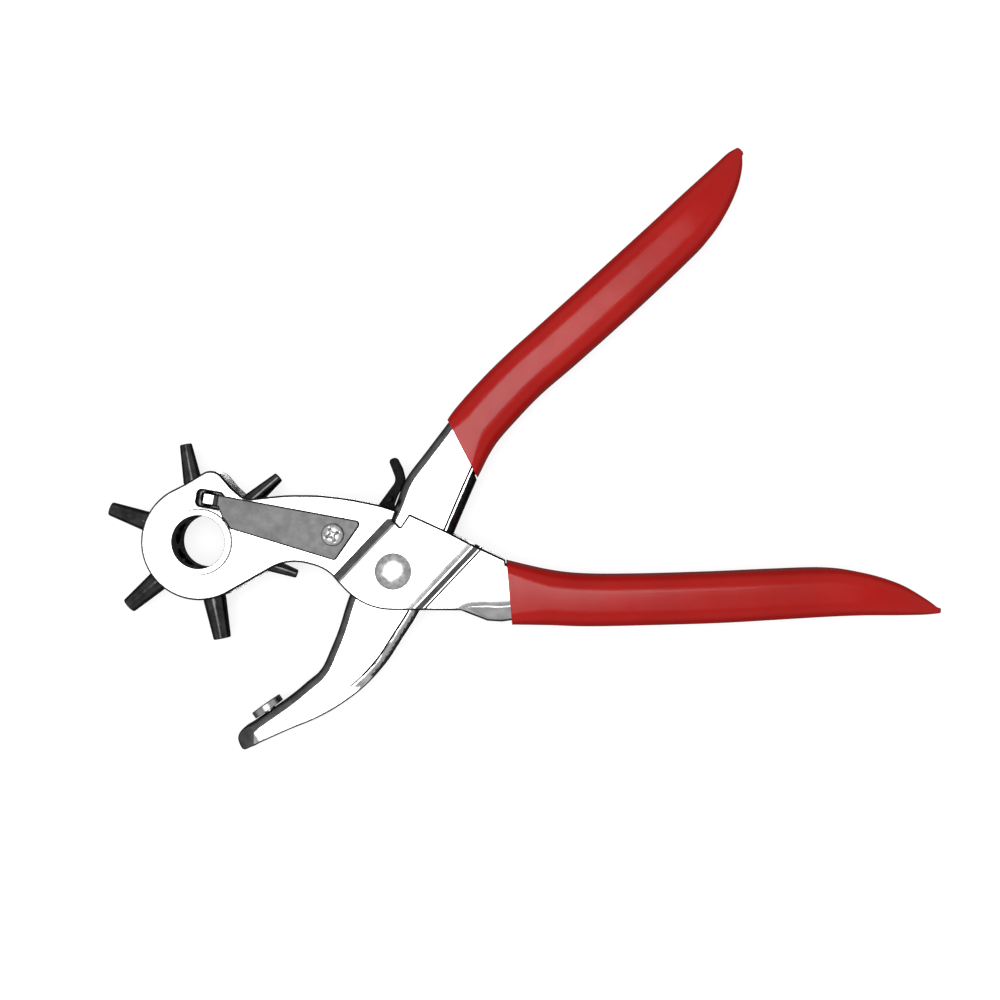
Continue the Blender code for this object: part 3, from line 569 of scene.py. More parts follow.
# ---- materials -----------------------------------------------------------------------------
class Nodes:
    """A small helper around one material's node tree."""

    def __init__(self, name, colour, metallic, roughness):
        self.material = bpy.data.materials.new(name)
        self.material.use_nodes = True
        self.tree = self.material.node_tree
        self.shader = self.tree.nodes["Principled BSDF"]
        self.shader.inputs["Base Color"].default_value = (*colour, 1.0)
        self.shader.inputs["Metallic"].default_value = metallic
        self.shader.inputs["Roughness"].default_value = roughness
        self.place = self.tree.nodes.new("ShaderNodeTexCoord")
        self.height = None

    def noise(self, per_mm, detail=3.0, stretch=(1.0, 1.0, 1.0), rough=0.5):
        """Noise with features about 1 / per_mm millimetres wide."""
        mapping = self.tree.nodes.new("ShaderNodeMapping")
        mapping.inputs["Scale"].default_value = stretch
        self.tree.links.new(self.place.outputs["Object"], mapping.inputs["Vector"])
        made = self.tree.nodes.new("ShaderNodeTexNoise")
        made.inputs["Scale"].default_value = per_mm / MM
        made.inputs["Detail"].default_value = detail
        made.inputs["Roughness"].default_value = rough
        self.tree.links.new(mapping.outputs["Vector"], made.inputs["Vector"])
        return made.outputs["Fac"]

    def spread(self, source, low, high, out_low, out_high):
        """The source, taken from one range to another."""
        made = self.tree.nodes.new("ShaderNodeMapRange")
        made.inputs["From Min"].default_value = low
        made.inputs["From Max"].default_value = high
        made.inputs["To Min"].default_value = out_low
        made.inputs["To Max"].default_value = out_high
        self.tree.links.new(source, made.inputs["Value"])
        return made.outputs["Result"]

    def roughness(self, source, low, high):
        self.tree.links.new(self.spread(source, 0.3, 0.7, low, high),
                            self.shader.inputs["Roughness"])

    def colour(self, source, first, second, low=0.35, high=0.65):
        """Base colour that wanders between two colours."""
        made = self.tree.nodes.new("ShaderNodeValToRGB")
        made.color_ramp.elements[0].position = low
        made.color_ramp.elements[0].color = (*first, 1.0)
        made.color_ramp.elements[1].position = high
        made.color_ramp.elements[1].color = (*second, 1.0)
        self.tree.links.new(source, made.inputs["Fac"])
        self.tree.links.new(made.outputs["Color"], self.shader.inputs["Base Color"])

    def dark_in_reflections(self, colour, diffuse_share):
        """A floor that polished metal sees as a dark flag, as in a product studio.

        Diffuse rays see that share of the dark floor.
        """
        dark = self.tree.nodes.new("ShaderNodeBsdfDiffuse")
        dark.inputs["Color"].default_value = (*colour, 1.0)
        path = self.tree.nodes.new("ShaderNodeLightPath")
        mix = self.tree.nodes.new("ShaderNodeMixShader")
        share = self.tree.nodes.new("ShaderNodeMath")
        share.operation = "MULTIPLY_ADD"
        share.inputs[1].default_value = diffuse_share
        output = self.tree.nodes["Material Output"]
        self.tree.links.new(path.outputs["Is Diffuse Ray"], share.inputs[0])
        self.tree.links.new(path.outputs["Is Glossy Ray"], share.inputs[2])
        self.tree.links.new(share.outputs["Value"], mix.inputs["Fac"])
        self.tree.links.new(self.shader.outputs["BSDF"], mix.inputs[1])
        self.tree.links.new(dark.outputs["BSDF"], mix.inputs[2])
        self.tree.links.new(mix.outputs["Shader"], output.inputs["Surface"])

    def bump(self, source, depth, strength=1.0):
        """Surface relief, depth in millimetres; later calls add to earlier ones."""
        made = self.tree.nodes.new("ShaderNodeBump")
        made.inputs["Distance"].default_value = depth * MM
        made.inputs["Strength"].default_value = strength
        self.tree.links.new(source, made.inputs["Height"])
        if self.height is not None:
            self.tree.links.new(self.height, made.inputs["Normal"])
        self.height = made.outputs["Normal"]
        self.tree.links.new(self.height, self.shader.inputs["Normal"])


def surface(name, metallic, colours, colour_noise, rough, rough_noise, bumps, specular=0.5):
    """Colour and roughness that wander between two values, and relief.

    A noise is its arguments for Nodes.noise; a bump is (noise, depth, strength).
    """
    made = Nodes(name, colours[0], metallic, rough[0])
    made.colour(made.noise(*colour_noise), *colours)
    made.roughness(made.noise(*rough_noise), *rough)
    for noise, depth, strength in bumps:
        made.bump(made.noise(*noise), depth, strength)
    made.shader.inputs["Specular IOR Level"].default_value = specular
    return made.material


def grey(value):
    return (value, value, value)


def all_materials():
    # Painted shade inside the grips' pockets: a darker red than the grip's own.
    pocket_shade = Nodes("grip_pocket_painted_shade", (0.10, 0.003, 0.003), 0.0, 0.6)
    pocket_shade.colour(pocket_shade.noise(0.6, 3.0), (0.07, 0.002, 0.002), (0.13, 0.004, 0.004))
    return {
        "nickel": surface(
            "bright_nickel_plate", 1.0, ((0.77, 0.77, 0.775), (0.84, 0.84, 0.845)), (0.09, 4.0),
            (0.13, 0.22), (0.25, 5.0), (((0.05, 2.0), 0.10, 0.35), ((2.5, 4.0), 0.004, 0.35))),
        # Near-black: the sheared edges, and painted shade drawn as dark lines along rims, joggles
        # and lips.
        "cut": surface(
            "sheared_edge_and_painted_dark_lines", 1.0, (grey(0.015), grey(0.045)), (0.8, 4.0, (1.0, 1.0, 0.15)),
            (0.26, 0.42), (1.6, 4.0), (((2.0, 3.0, (1.0, 1.0, 0.12)), 0.012, 0.5),)),
        # Painted shade: a dark nickel standing in for the dark reflection on joggles, folded
        # corners, the jaw's nose and lip.
        "step": surface(
            "pressed_plate", 1.0, (grey(0.13), grey(0.20)), (0.4, 4.0),
            (0.26, 0.36), (0.9, 4.0), (((1.2, 3.0), 0.006, 0.5),)),
        # Bright steel of the turned parts, also a painted highlight on the leaf spring's foot.
        "bright": surface(
            "bright_steel_and_painted_highlight", 1.0, ((0.68, 0.68, 0.69), (0.80, 0.80, 0.81)), (0.3, 4.0),
            (0.16, 0.28), (0.7, 5.0), (((3.0, 3.0), 0.004, 0.4),)),
        "rivet": surface(
            "hammered_rivet_head", 1.0, (grey(0.5), grey(0.82)), (0.8, 4.0),
            (0.28, 0.42), (0.8, 5.0), (((0.35, 2.0), 0.10, 0.6), ((1.8, 3.0), 0.015, 0.6))),
        "leaf": surface(
            "satin_spring_steel", 1.0, (grey(0.125), grey(0.15)), (0.15, 5.0),
            (0.40, 0.48), (0.5, 5.0), (((1.6, 3.0, (1.0, 0.2, 1.0)), 0.006, 0.5),)),
        "black": surface(
            "blackened_steel", 1.0, (grey(0.045), grey(0.085)), (0.4, 4.0),
            (0.15, 0.26), (0.9, 4.0), (((2.2, 3.0), 0.006, 0.4),)),
        "matt": surface(
            "matt_black_oxide", 0.0, (grey(0.002), grey(0.006)), (0.6, 4.0),
            (0.42, 0.58), (0.9, 4.0), (((2.2, 3.0), 0.02, 0.5),), 0.08),
        "anvil": surface(
            "machined_anvil_steel", 1.0, ((0.42, 0.42, 0.43), (0.56, 0.56, 0.57)), (0.5, 4.0),
            (0.20, 0.34), (1.1, 4.0), (((2.6, 3.0), 0.006, 0.5),)),
        "grip": surface(
            "red_dipped_vinyl", 0.0, ((0.31, 0.0032, 0.0016), (0.35, 0.005, 0.0028)), (0.05, 4.0),
            (0.20, 0.26), (0.22, 5.0), (((0.08, 2.0), 0.25, 0.35), ((1.4, 3.0), 0.010, 0.35)), 0.31),
        "pocket_shade": pocket_shade.material,
    }


# ---- the wheel lever -----------------------------------------------------------------------
def wheel_lever_bottom():
    """The folded edge of the handle, from the end of its web to the tail."""
    tail = [(s, interpolate(LOWER_GRIP, s)[0] + TAIL_CLEAR) for s in (43.6, 54.0, 90.0, 121.0)]
    return [(26.0, -14.1), (30.0, -14.35), (32.6, -14.0)] + tail + [(TAIL_END_LOWER, -10.7)]


def wheel_lever_outline():
    bottom = wheel_lever_bottom()
    stations = (121.0, 106.0, 90.0, 70.0, 54.0, 43.6)
    top = [(s, interpolate(LOWER_GRIP, s)[1] - TAIL_CLEAR, 0.0) for s in stations]
    return rounded(
        [(*polar(HUB, 16.2, angle), 0.0) for angle in range(120, 299, 4)]
        + [(-29.3, 3.4, 13.0), (-18.9, 0.8, 12.0), (-8.1, -10.7, 18.0), (18.7, -10.9, 1.5)]
        + [(x, y, 0.0) for x, y in bottom]
        + [(TAIL_END_LOWER, -4.2, 0.0)]
        + top
        + [(31.1, 1.8, 0.0), (31.0, 3.1, 0.3), (21.9, 7.4, 20.0), (14.6, 11.2, 20.0)]
        + [(4.4, 15.9, 0.6), (1.9, 12.2, 0.3), (0.0, 14.3, 0.3), (0.9, 16.8, 0.3)]
        + [(-3.7, 18.3, 20.0), (-12.6, 20.1, 40.0), (-21.1, 21.1, 40.0), (-30.0, 21.1, 40.0)]
        + [(-41.3, 19.9, 5.0), (-45.2, 23.4, 3.0), (-49.9, 29.0, 4.0), (-58.2, 24.0, 8.0)])


def crease_places(knots):
    """Every knot, and points between at about CREASE_STEP; the facet's straight run has none."""
    places = [knots[0][0]]
    for number, ((a, _), (b, _)) in enumerate(zip(knots, knots[1:])):
        straight = number == 0 and a == 0.0
        count = 1 if straight else max(1, round((b - a) / CREASE_STEP))
        places += [a + (b - a) * (k + 1) / count for k in range(count)]
    return places


def across_line(distance):
    """A crease parallel to the raised band, long enough to cross the lever."""
    middle = polar((0.0, 0.0), distance, RAISE_DIRECTION)
    return [polar(middle, 30.0, RAISE_DIRECTION + 90), polar(middle, 30.0, RAISE_DIRECTION - 90)]


def index_slot():
    """The slot that lets the index spring's tongue through the front cheek."""
    middle = polar(TONGUE_START, 2.85, TONGUE_DIRECTION)
    corners = ((3.45, 2.1), (-3.45, 2.1), (-3.45, -2.1), (3.45, -2.1))
    placed = [turned((middle[0] + a, middle[1] + b), TONGUE_DIRECTION, middle)
              for a, b in corners]
    return rounded([(x, y, 1.0) for x, y in placed], 15.0)


def make_wheel_lever(look):
    web_line = wheel_lever_bottom()
    facet_line = [(22.0, -14.3)] + web_line
    direction = np.array(heading(RAISE_DIRECTION)[:2])

    rise = sloped(RISE_SLOPES)
    fall = sloped(FALL_SLOPES)
    bend = sloped(FACET_SLOPES)

    def raised(points):
        u = points @ direction
        up = np.interp(u, *rise) / rise[1][-1]
        strip = 1.0 - ramp(points[:, 1], *RAISE_TOP, 0.3)
        up = np.where(points[:, 0] < 1.3, up * strip, up)
        return RAISE * np.minimum(up, 1.0 - np.interp(u, *fall) / fall[1][-1])

    def outer(points):
        below = bend[1][-1] - np.interp(distances(points, facet_line), *bend)
        return CHEEK_H - below + raised(points)

    def inner(points):
        facet = CHEEK_H - bend[1][-1] + FACET_SLOPE * distances(points, facet_line) - 1.3 * SHEET
        depth = np.minimum(CHEEK_H - SHEET, facet) + raised(points)
        return np.where(distances(points, web_line) < WEB + WEB_STEP / 2, 0.0, depth)

    creases = []
    for u in crease_places(RISE_SLOPES) + crease_places(FALL_SLOPES):
        creases.append(across_line(u))
    for y in RAISE_TOP_CREASES:
        creases.append([(-12.0, y), (1.2, y)])
    for width in crease_places(FACET_SLOPES)[1:]:
        creases.append(arc(facet_line[0], width, 180.0, 90.0, 12) + offset(facet_line, width)[1:])
    creases += [offset(web_line, WEB), offset(web_line, WEB + WEB_STEP)]
    holes = [circle(HUB, COLLAR_R + GAP, 96), circle((0.0, 0.0), PIVOT_R + GAP, 48)]
    front_holes = [index_slot(), circle(SCREW, SCREW_R + GAP, 24)]
    bm = folded(wheel_lever_outline(), creases, outer, inner, holes, front_holes, CHEEK_EDGE)

    # Painted shade on the joggles: their tilted faces get the dark-nickel slot, and a line on the
    # falling joggle the near-black slot.
    def pressed(middles, tilts):
        u = middles @ direction
        return ((between(u, RISE_SHADE_BAND) | between(u, FALL_SHADE_BAND)) & (tilts > 0.04)
                & (distances(middles, facet_line) > FACET_BAND))

    darken(bm, lambda middles, tilts: between(middles @ direction, FALL_SHADE_LINE))
    darken(bm, pressed, SHADE_SLOT)
    made = piece("wheel_lever_plate", bm, ROOT,
                 [look["nickel"], look["cut"], look["step"]])
    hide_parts("wheel_lever")


# ---- the anvil lever -----------------------------------------------------------------------
def anvil_seat():
    """Where the anvil sits on the open lever, and which way it faces."""
    closed = polar(HUB, PUNCH_TIP + GAP, WORKING_PUNCH_ANGLE)
    face = turned(closed, CLOSING_ANGLE)
    facing = WORKING_PUNCH_ANGLE + 180.0 + CLOSING_ANGLE
    return polar(face, ANVIL_T + GAP, facing + 180.0), facing


def along_grip(s, t):
    """A point given along and across the upper handle."""
    return turned((s, t), GRIP_ANGLE)


def anvil_lever_web():
    """The folded edge of the anvil lever, from the tail down to the nose of the jaw."""
    seat, facing = anvil_seat()
    tail = [(TAIL_END_UPPER, 17.6)]
    stations = (118.0, 98.5, 78.0, 54.5, 44.5)
    tail += [(s, interpolate(UPPER_GRIP, s)[1] - TAIL_CLEAR) for s in stations]
    tail += [(40.6, 18.95), (39.5, 19.2)]
    jaw = [(8.1, 32.2), (3.1, 25.4), (0.0, 17.6), (-3.8, 10.3), (-8.6, 2.2), (-12.7, -7.4)]
    jaw += [(-15.3, -15.7), (-17.5, -21.3), (-20.5, -27.6), (-25.3, -31.9)]
    jaw += [polar(seat, 6.0, facing - 90.0), polar(seat, 6.0, facing + 90.0)]
    nose = [(-42.8, -44.6), (-44.0, -47.2), (-42.4, -50.0), (-40.0, -49.3)]
    end = smooth([jaw[-1]] + nose, 5)[1:]
    return [along_grip(*p) for p in tail] + smooth(jaw, 5) + end


def anvil_lever_edge():
    """The open edge of the anvil lever, from the jaw up to the tail."""
    tail = [(34.2, 2.3), (34.7, 3.6)]
    stations = (44.5, 54.5, 64.7, 98.5, 118.0)
    tail += [(s, interpolate(UPPER_GRIP, s)[0] + TAIL_CLEAR) for s in stations]
    tail += [(TAIL_END_UPPER, 10.5)]
    jaw = [(-37.1, -47.7), (-29.1, -44.1), (-22.7, -41.5), (-15.9, -37.9), (-8.2, -32.2)]
    jaw += [(-2.3, -25.8), (1.9, -19.4), (7.0, -11.2), (12.0, 0.0), (16.5, 10.5), (21.4, 22.0)]
    return smooth(jaw, 5) + [along_grip(*p) for p in tail]


def make_anvil_lever(look):
    web_line = anvil_lever_web()
    edge_line = anvil_lever_edge()
    visible = edge_line[:edge_line.index(along_grip(34.2, 2.3)) + 1]
    lip_line = visible + [(visible[-1][0] + 5.4, visible[-1][1] + 12.0)]

    def nose(points):
        return NOSE_SLOPE * np.maximum(0.0, NOSE_X - points[:, 0])

    def rolled(points):
        """The share of a full lip at each point."""
        low, high = LIP_ENDS_Y
        return np.clip((points[:, 1] - low) / (high - low), 0.0, 1.0)

    def outer(points):
        left = CORNER_ROUND - np.clip(distances(points, web_line), 0.0, CORNER_ROUND)
        corner = CHANNEL_H - CORNER_ROUND + np.sqrt(CORNER_ROUND ** 2 - left ** 2)
        from_edge = distances(points, lip_line)
        lean = LIP_LEAN + np.clip(LIP_ROLL - from_edge, 0.0, LIP_ROLL) / LIP_R
        roll = GROOVE_DEPTH * np.clip((GROOVE - from_edge) / GROOVE_WIDTH, 0.0, 1.0)
        roll = roll + LIP_R * (sqrt(1.0 - LIP_LEAN ** 2) - np.sqrt(1.0 - lean ** 2))
        return np.minimum(corner, CHANNEL_H - nose(points)) - roll * rolled(points)

    def inner(points):
        flat = CHANNEL_H - nose(points) - CHANNEL_WALL
        lip = distances(points, edge_line) < CHANNEL_WALL + 0.1
        depth = np.where(lip, flat - LIP_DEPTH * rolled(points), flat)
        web = distances(points, web_line) < (CHANNEL_WALL + CORNER) / 2
        return np.where(web, 0.0, depth)

    corner_at = (0.3, 0.6, 1.0, 1.4, CHANNEL_WALL, CORNER, 2.25, CORNER_ROUND)
    lip_at = (0.5, 0.8, 1.15, CHANNEL_WALL, CHANNEL_WALL + 0.2, LIP_ROLL - 0.05, LIP_ROLL)
    lip_at += (GROOVE - GROOVE_WIDTH, GROOVE - GROOVE_WIDTH + 0.05, GROOVE - 0.05, GROOVE)
    creases = [offset(web_line, d) for d in corner_at]
    creases += [offset(lip_line, d) for d in lip_at]
    creases.append([(NOSE_X, -30.0), (NOSE_X, -60.0)])
    holes = [circle((0.0, 0.0), PIVOT_R + GAP, 48),
             circle(CATCH_PIVOT, CATCH_PIN_R + GAP, 24)]
    bm = folded(web_line + edge_line, creases, outer, inner, holes, [], CHANNEL_EDGE)

    def shaded(middles, tilts):
        """Painted shade: the jaw's nose, the folded corner, and the line along the jaw's lip."""
        line = ((distances(middles, lip_line) < LIP_LINE)
                & between(middles[:, 1], (LIP_ENDS_Y[1], LIP_DARK_Y)))
        corner = distances(middles, web_line) < CORNER_ROUND
        return (tilts > 0.01) & ((middles[:, 0] < NOSE_X) | corner | line)

    def dark(middles, tilts):
        """Painted dark lines: the groove, and the upper handle's lip."""
        from_edge = distances(middles, lip_line)
        groove = between(from_edge, (GROOVE - 0.55, GROOVE - 0.05))
        lip = (from_edge < LIP_ROLL) & (middles[:, 1] > LIP_DARK_Y)
        return (groove | lip) & (middles[:, 1] > LIP_ENDS_Y[1])

    darken(bm, shaded, SHADE_SLOT)
    darken(bm, dark)
    made = piece("anvil_lever_channel", bm, SWING,
                 [look["nickel"], look["cut"], look["step"]])
    seat, facing = anvil_seat()
    bar = [(0.0, -4.0), (ANVIL_SHANK_R + GAP, -4.0), (ANVIL_SHANK_R + GAP, 2.0), (0.0, 2.0)]
    cut_away(made, lathe(bar, at_mid(seat), heading(facing), 32))
    catch_slot = [(-6.5, 9.5), (4.0, 9.5), (4.5, 19.0), (-3.5, 19.0)]
    cut_away(made, block(catch_slot, -CATCH_H - GAP, CATCH_H + GAP))
    made.data.set_sharp_from_angle(angle=radians(SHARP_ANGLE))
    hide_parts("anvil_lever")


def make_anvil(look):
    """The anvil disc with its shank riveted over inside the channel."""
    seat, facing = anvil_seat()
    inside_web = -CHANNEL_WALL - 2 * GAP
    profile = [(0.0, inside_web - 0.8), (2.3, inside_web - 0.8), (2.6, inside_web)]
    profile += [(ANVIL_SHANK_R, inside_web), (ANVIL_SHANK_R, GAP), (ANVIL_R, GAP)]
    profile += [(ANVIL_R, GAP + ANVIL_T), (0.0, GAP + ANVIL_T)]
    bm = lathe(soften(profile, 0.22, (3, 4)), at_mid(seat), heading(facing), 72)
    made = piece("anvil_disc", bm, SWING, [look["anvil"]])
    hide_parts("anvil")


# ---- wheel, eyelets and punches ------------------------------------------------------------
def make_wheel(look):
    """The drum, with its detent dimples and the six sockets."""
    step = COLLAR_H - GAP
    half = [(BORE_R, -step), (COLLAR_R + GAP, -step), (COLLAR_R + GAP, -WHEEL_H)]
    half += [(WHEEL_R, -WHEEL_H)]
    profile = half + [(radius, -height) for radius, height in reversed(half)]
    drum = piece("punch_drum", lathe(soften(profile, 0.4, (0, 1, 6, 7)), at_mid(HUB), (0, 0, 1),
                                     120), WHEEL, [look["black"]])
    for number in range(len(PUNCH_SIZES)):
        angle = WORKING_PUNCH_ANGLE + PUNCH_PITCH * number
        bar = [(0.0, 0.0), (SHANK_R + GAP, 0.0), (SHANK_R + GAP, WHEEL_R + 2.0),
               (0.0, WHEEL_R + 2.0)]
        cut_away(drum, lathe(bar, at_mid(HUB), heading(angle), 40))
        place = polar(HUB, DETENT_RADIUS, DETENT_ANGLE + PUNCH_PITCH * number)
        depth = WHEEL_H - DETENT_DEPTH
        dip = [(0.0, depth), (DETENT_R - 0.6, depth + 0.1), (DETENT_R, WHEEL_H + 0.05),
               (DETENT_R, WHEEL_H + 1.0), (0.0, WHEEL_H + 1.0)]
        cut_away(drum, lathe(dip, at_mid(place), (0, 0, 1), 32))
    drum.data.set_sharp_from_angle(angle=radians(SHARP_ANGLE))
    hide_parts("punch_wheel")


def make_punch(size, number, look):
    """A hollow punch: shank in the wheel, tapered body, ground rim."""
    angle = WORKING_PUNCH_ANGLE + PUNCH_PITCH * number
    bore = size / 2
    base = 0.38 * size + 1.44
    tip = bore + 0.22
    profile = [(bore + 0.15, 8.4), (SHANK_R, 8.4), (SHANK_R, WHEEL_R + 0.1)]
    profile += [(SHANK_R - 0.08, WHEEL_R + 0.2), (base + 0.1, 15.8), (base, 16.1), (base, 17.5)]
    profile += [(base - 0.05, 17.9), (tip, PUNCH_TIP - 0.35), (bore + 0.05, PUNCH_TIP)]
    profile += [(bore, PUNCH_TIP - 0.05), (bore, PUNCH_TIP - 5.0)]
    profile += [(bore + 0.15, PUNCH_TIP - 6.0)]
    bm = lathe(profile, at_mid(HUB), heading(angle), 48)
    label = str(size).replace(".", "_")
    made = piece("punch_%s" % label, bm, WHEEL, [look["black"]])
    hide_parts("punch_tube_%s_mm" % label)


def make_eyelet(name, side, look):
    """A flanged collar in one cheek, on which the wheel turns."""
    under = CHEEK_H + GAP
    profile = [(BORE_R, COLLAR_H), (COLLAR_R, COLLAR_H), (COLLAR_R, under), (FLANGE_R, under)]
    profile += [(FLANGE_R, FLANGE_H), (BORE_R, FLANGE_H)]
    bm = lathe(soften(profile, 0.25, (0, 1, 2)), at_mid(HUB), (0, 0, side), 120)
    # Painted shade: the bore's wall gets the black material.
    middle = Vector(at_mid(HUB))
    bm.faces.ensure_lookup_table()
    for face in bm.faces:
        where = face.calc_center_median() - middle
        if where.xy.length < BORE_R + 0.12 and abs(where.z) < FLANGE_H - 0.3:
            face.material_index = 1
    made = piece(name + "_ring", bm, ROOT, [look["nickel"], look["black"]])
    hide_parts(name)


# ---- pivot, springs and screw --------------------------------------------------------------
def make_pivot_rivet(look):
    under = CHEEK_H + RAISE + GAP
    back = -under
    head = PIVOT_HEAD_R - 0.1
    profile = [(0.0, -MID_Z), (head - 0.4, -MID_Z), (head - 0.12, 0.1 - MID_Z)]
    profile += [(head, 0.35 - MID_Z), (head, back), (PIVOT_R, back), (PIVOT_R, under)]
    profile += [(PIVOT_HEAD_R, under), (PIVOT_HEAD_R, under + 0.1)]
    for part in range(12, -1, -1):
        share = part / 12.0
        profile.append(((PIVOT_HEAD_R - 0.04) * share, under + 0.12 + 1.43 * (1.0 - share ** 4)))
    bm = lathe(profile, at_mid((0, 0)), (0, 0, 1), 96)
    made = piece("pivot_rivet_heads", bm, ROOT, [look["rivet"]])
    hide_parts("pivot_rivet")


def make_opening_spring(look):
    """A torsion spring round the pivot."""
    steps = round(COIL_TURNS * 40)
    half = 3.0
    route = [(4.6, 17.8, half)]
    for i in range(steps + 1):
        part = i / steps
        place = polar((0.0, 0.0), COIL_R, 150.0 + 360.0 * COIL_TURNS * part)
        route.append((*place, half - 2 * half * part))
    route += [(2.6, -5.7, -2.9), (6.0, -6.5, -1.5), (16.0, -8.8, -0.5), (27.5, -11.3, 0.0)]
    curve = bpy.data.curves.new("torsion_spring", "CURVE")
    curve.dimensions = "3D"
    curve.bevel_depth = WIRE_R * MM
    curve.bevel_resolution = 4
    curve.use_fill_caps = True
    spline = curve.splines.new("POLY")
    spline.points.add(len(route) - 1)
    for point, (x, y, height) in zip(spline.points, route):
        point.co = (x * MM, y * MM, (MID_Z + height) * MM, 1.0)
    curve.materials.append(look["leaf"])
    drawn = linked("torsion_spring_path", curve)
    seen = drawn.evaluated_get(bpy.context.evaluated_depsgraph_get())
    mesh = bpy.data.meshes.new_from_object(seen)
    bpy.data.objects.remove(drawn)
    mesh.shade_smooth()
    made = linked("torsion_spring", mesh)
    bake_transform(made)
    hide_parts("opening_spring")


def make_index_spring(look):
    """The leaf on the front cheek; its tongue drops through the slot onto the wheel."""
    side = [polar(TONGUE_START, r, TONGUE_DIRECTION - 90) for r in (TONGUE_HALF, -TONGUE_HALF)]
    tips = [polar(p, 5.2, TONGUE_DIRECTION) for p in side]
    hug = arc(HUB, FLANGE_R + GAP, 46.0, 23.0, 12)
    corners = [(*tips[0], 0.5), (*side[0], 0.8)]
    corners += [(-46.9, 20.9, 0.5), (-8.5, 13.8, 1.2), (-16.1, 2.9, 0.8)]
    corners += [(*p, 0.0) for p in hug[::-1]]
    corners += [(*side[1], 0.0), (*tips[1], 0.5)]
    outline = rounded(corners, 10.0)
    out = np.array(heading(TONGUE_DIRECTION)[:2])
    stations = ((0.2, 7.0), (0.9, 6.3), (1.2, 6.25), (TONGUE_FLAT, 4.7), (5.3, 4.7))

    def low(points):
        along = (points - np.array(TONGUE_START)) @ out
        return np.interp(along, [s for s, _ in stations], [h for _, h in stations])

    def high(points):
        return low(points) + LEAF_T

    across = TONGUE_DIRECTION + 90.0
    folds = []
    for along in (0.1, 0.2, 0.3, 0.85, 0.95, 1.15, 1.25, 2.05, 2.15, 4.6):
        middle = polar(TONGUE_START, along, TONGUE_DIRECTION)
        folds.append([polar(middle, r, across) for r in (-TONGUE_HALF, TONGUE_HALF)])
    holes = [circle(SCREW, SCREW_R + GAP, 32)]
    # Painted shade: a band 0.45 wide along the leaf's rim gets the near-black slot.
    bm = plate(outline, low, high, holes, folds, 0.45)
    # Painted highlight: the tongue's level foot past its bend gets the bright steel.
    bm.faces.ensure_lookup_table()
    for face in bm.faces:
        middle = np.array(face.calc_center_median()[:2])
        if (middle - np.array(TONGUE_START)) @ out > TONGUE_FLAT and face.material_index == 0:
            face.material_index = 2
    made = piece("leaf_spring", bm, ROOT,
                 [look["leaf"], look["cut"], look["bright"]])
    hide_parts("index_spring")


def make_screw(look):
    """Pan-head screw with a cross recess."""
    under = CHEEK_H + 2 * GAP + LEAF_T
    profile = [(0.0, 1.9), (SCREW_R, 1.9), (SCREW_R, under), (3.1, under), (3.1, under + 0.45)]
    profile += [(3.0, under + 0.72), (2.8, under + 0.95), (2.45, under + 1.17)]
    profile += [(1.9, under + 1.34), (1.2, under + 1.42), (0.0, under + 1.45)]
    bm = lathe(profile, at_mid(SCREW), (0, 0, 1), 64)
    # Painted shade: the head's rounded rim gets the near-black slot.
    for face in bm.faces:
        if (face.calc_center_median().xy - Vector(SCREW)).length > 2.9:
            face.material_index = 1
    made = piece("pan_head_screw", bm, ROOT, [look["rivet"], look["cut"]])
    for turn in (20.0, 110.0):
        corners = [turned((SCREW[0] + a, SCREW[1] + b), turn, SCREW)
                   for a, b in ((1.9, 0.4), (-1.9, 0.4), (-1.9, -0.4), (1.9, -0.4))]
        cut_away(made, block(corners, under + 0.55, under + 3.0))
    made.data.set_sharp_from_angle(angle=radians(SHARP_ANGLE))
    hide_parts("spring_screw")


# ---- the catch -----------------------------------------------------------------------------
def make_catch(look):
    """Thumb lever beside the anvil lever's web; its cross lugs drop into the cheeks' notches."""
    outline = rounded([
        (-3.2, 20.3, 1.0), (-5.0, 17.8, 0.8), (-4.6, 14.6, 2.0), (4.6, 9.6, 2.2),
        (8.4, 12.6, 2.2), (5.6, 15.8, 2.0), (-0.4, 17.9, 0.8), (0.65, 20.7, 3.0),
        (3.0, 25.4, 2.0), (2.2, 28.6, 4.0), (0.5, 31.9, 1.1), (-1.8, 31.0, 1.0),
        (0.4, 25.2, 2.5)])
    bm = plate(outline, -CATCH_H, CATCH_H, [circle(CATCH_PIVOT, CATCH_PIN_R + GAP, 32)])
    made = piece("catch_lever", bm, CATCH, [look["matt"], look["matt"]])
    bar = [(0.0, -LUG_H), (LUG_R, -LUG_H), (LUG_R, LUG_H), (0.0, LUG_H)]
    lugs = piece("catch_lugs", lathe(soften(bar, 0.25), at_mid(LUG), (0, 0, 1), 40), CATCH,
                 [look["matt"]])
    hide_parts("lock_catch")
    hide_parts("lock_catch")


# ---- grips ---------------------------------------------------------------------------------
def section(centre, half_width, half_height, corner, steps):
    """Points round a rounded rectangle, as (across, height)."""
    points = []
    for quarter, (sx, sy) in enumerate(((1, 1), (-1, 1), (-1, -1), (1, -1))):
        middle = (centre + sx * (half_width - corner), sy * (half_height - corner))
        points += arc(middle, corner, 90.0 * quarter, 90.0 * (quarter + 1), steps)
    return points


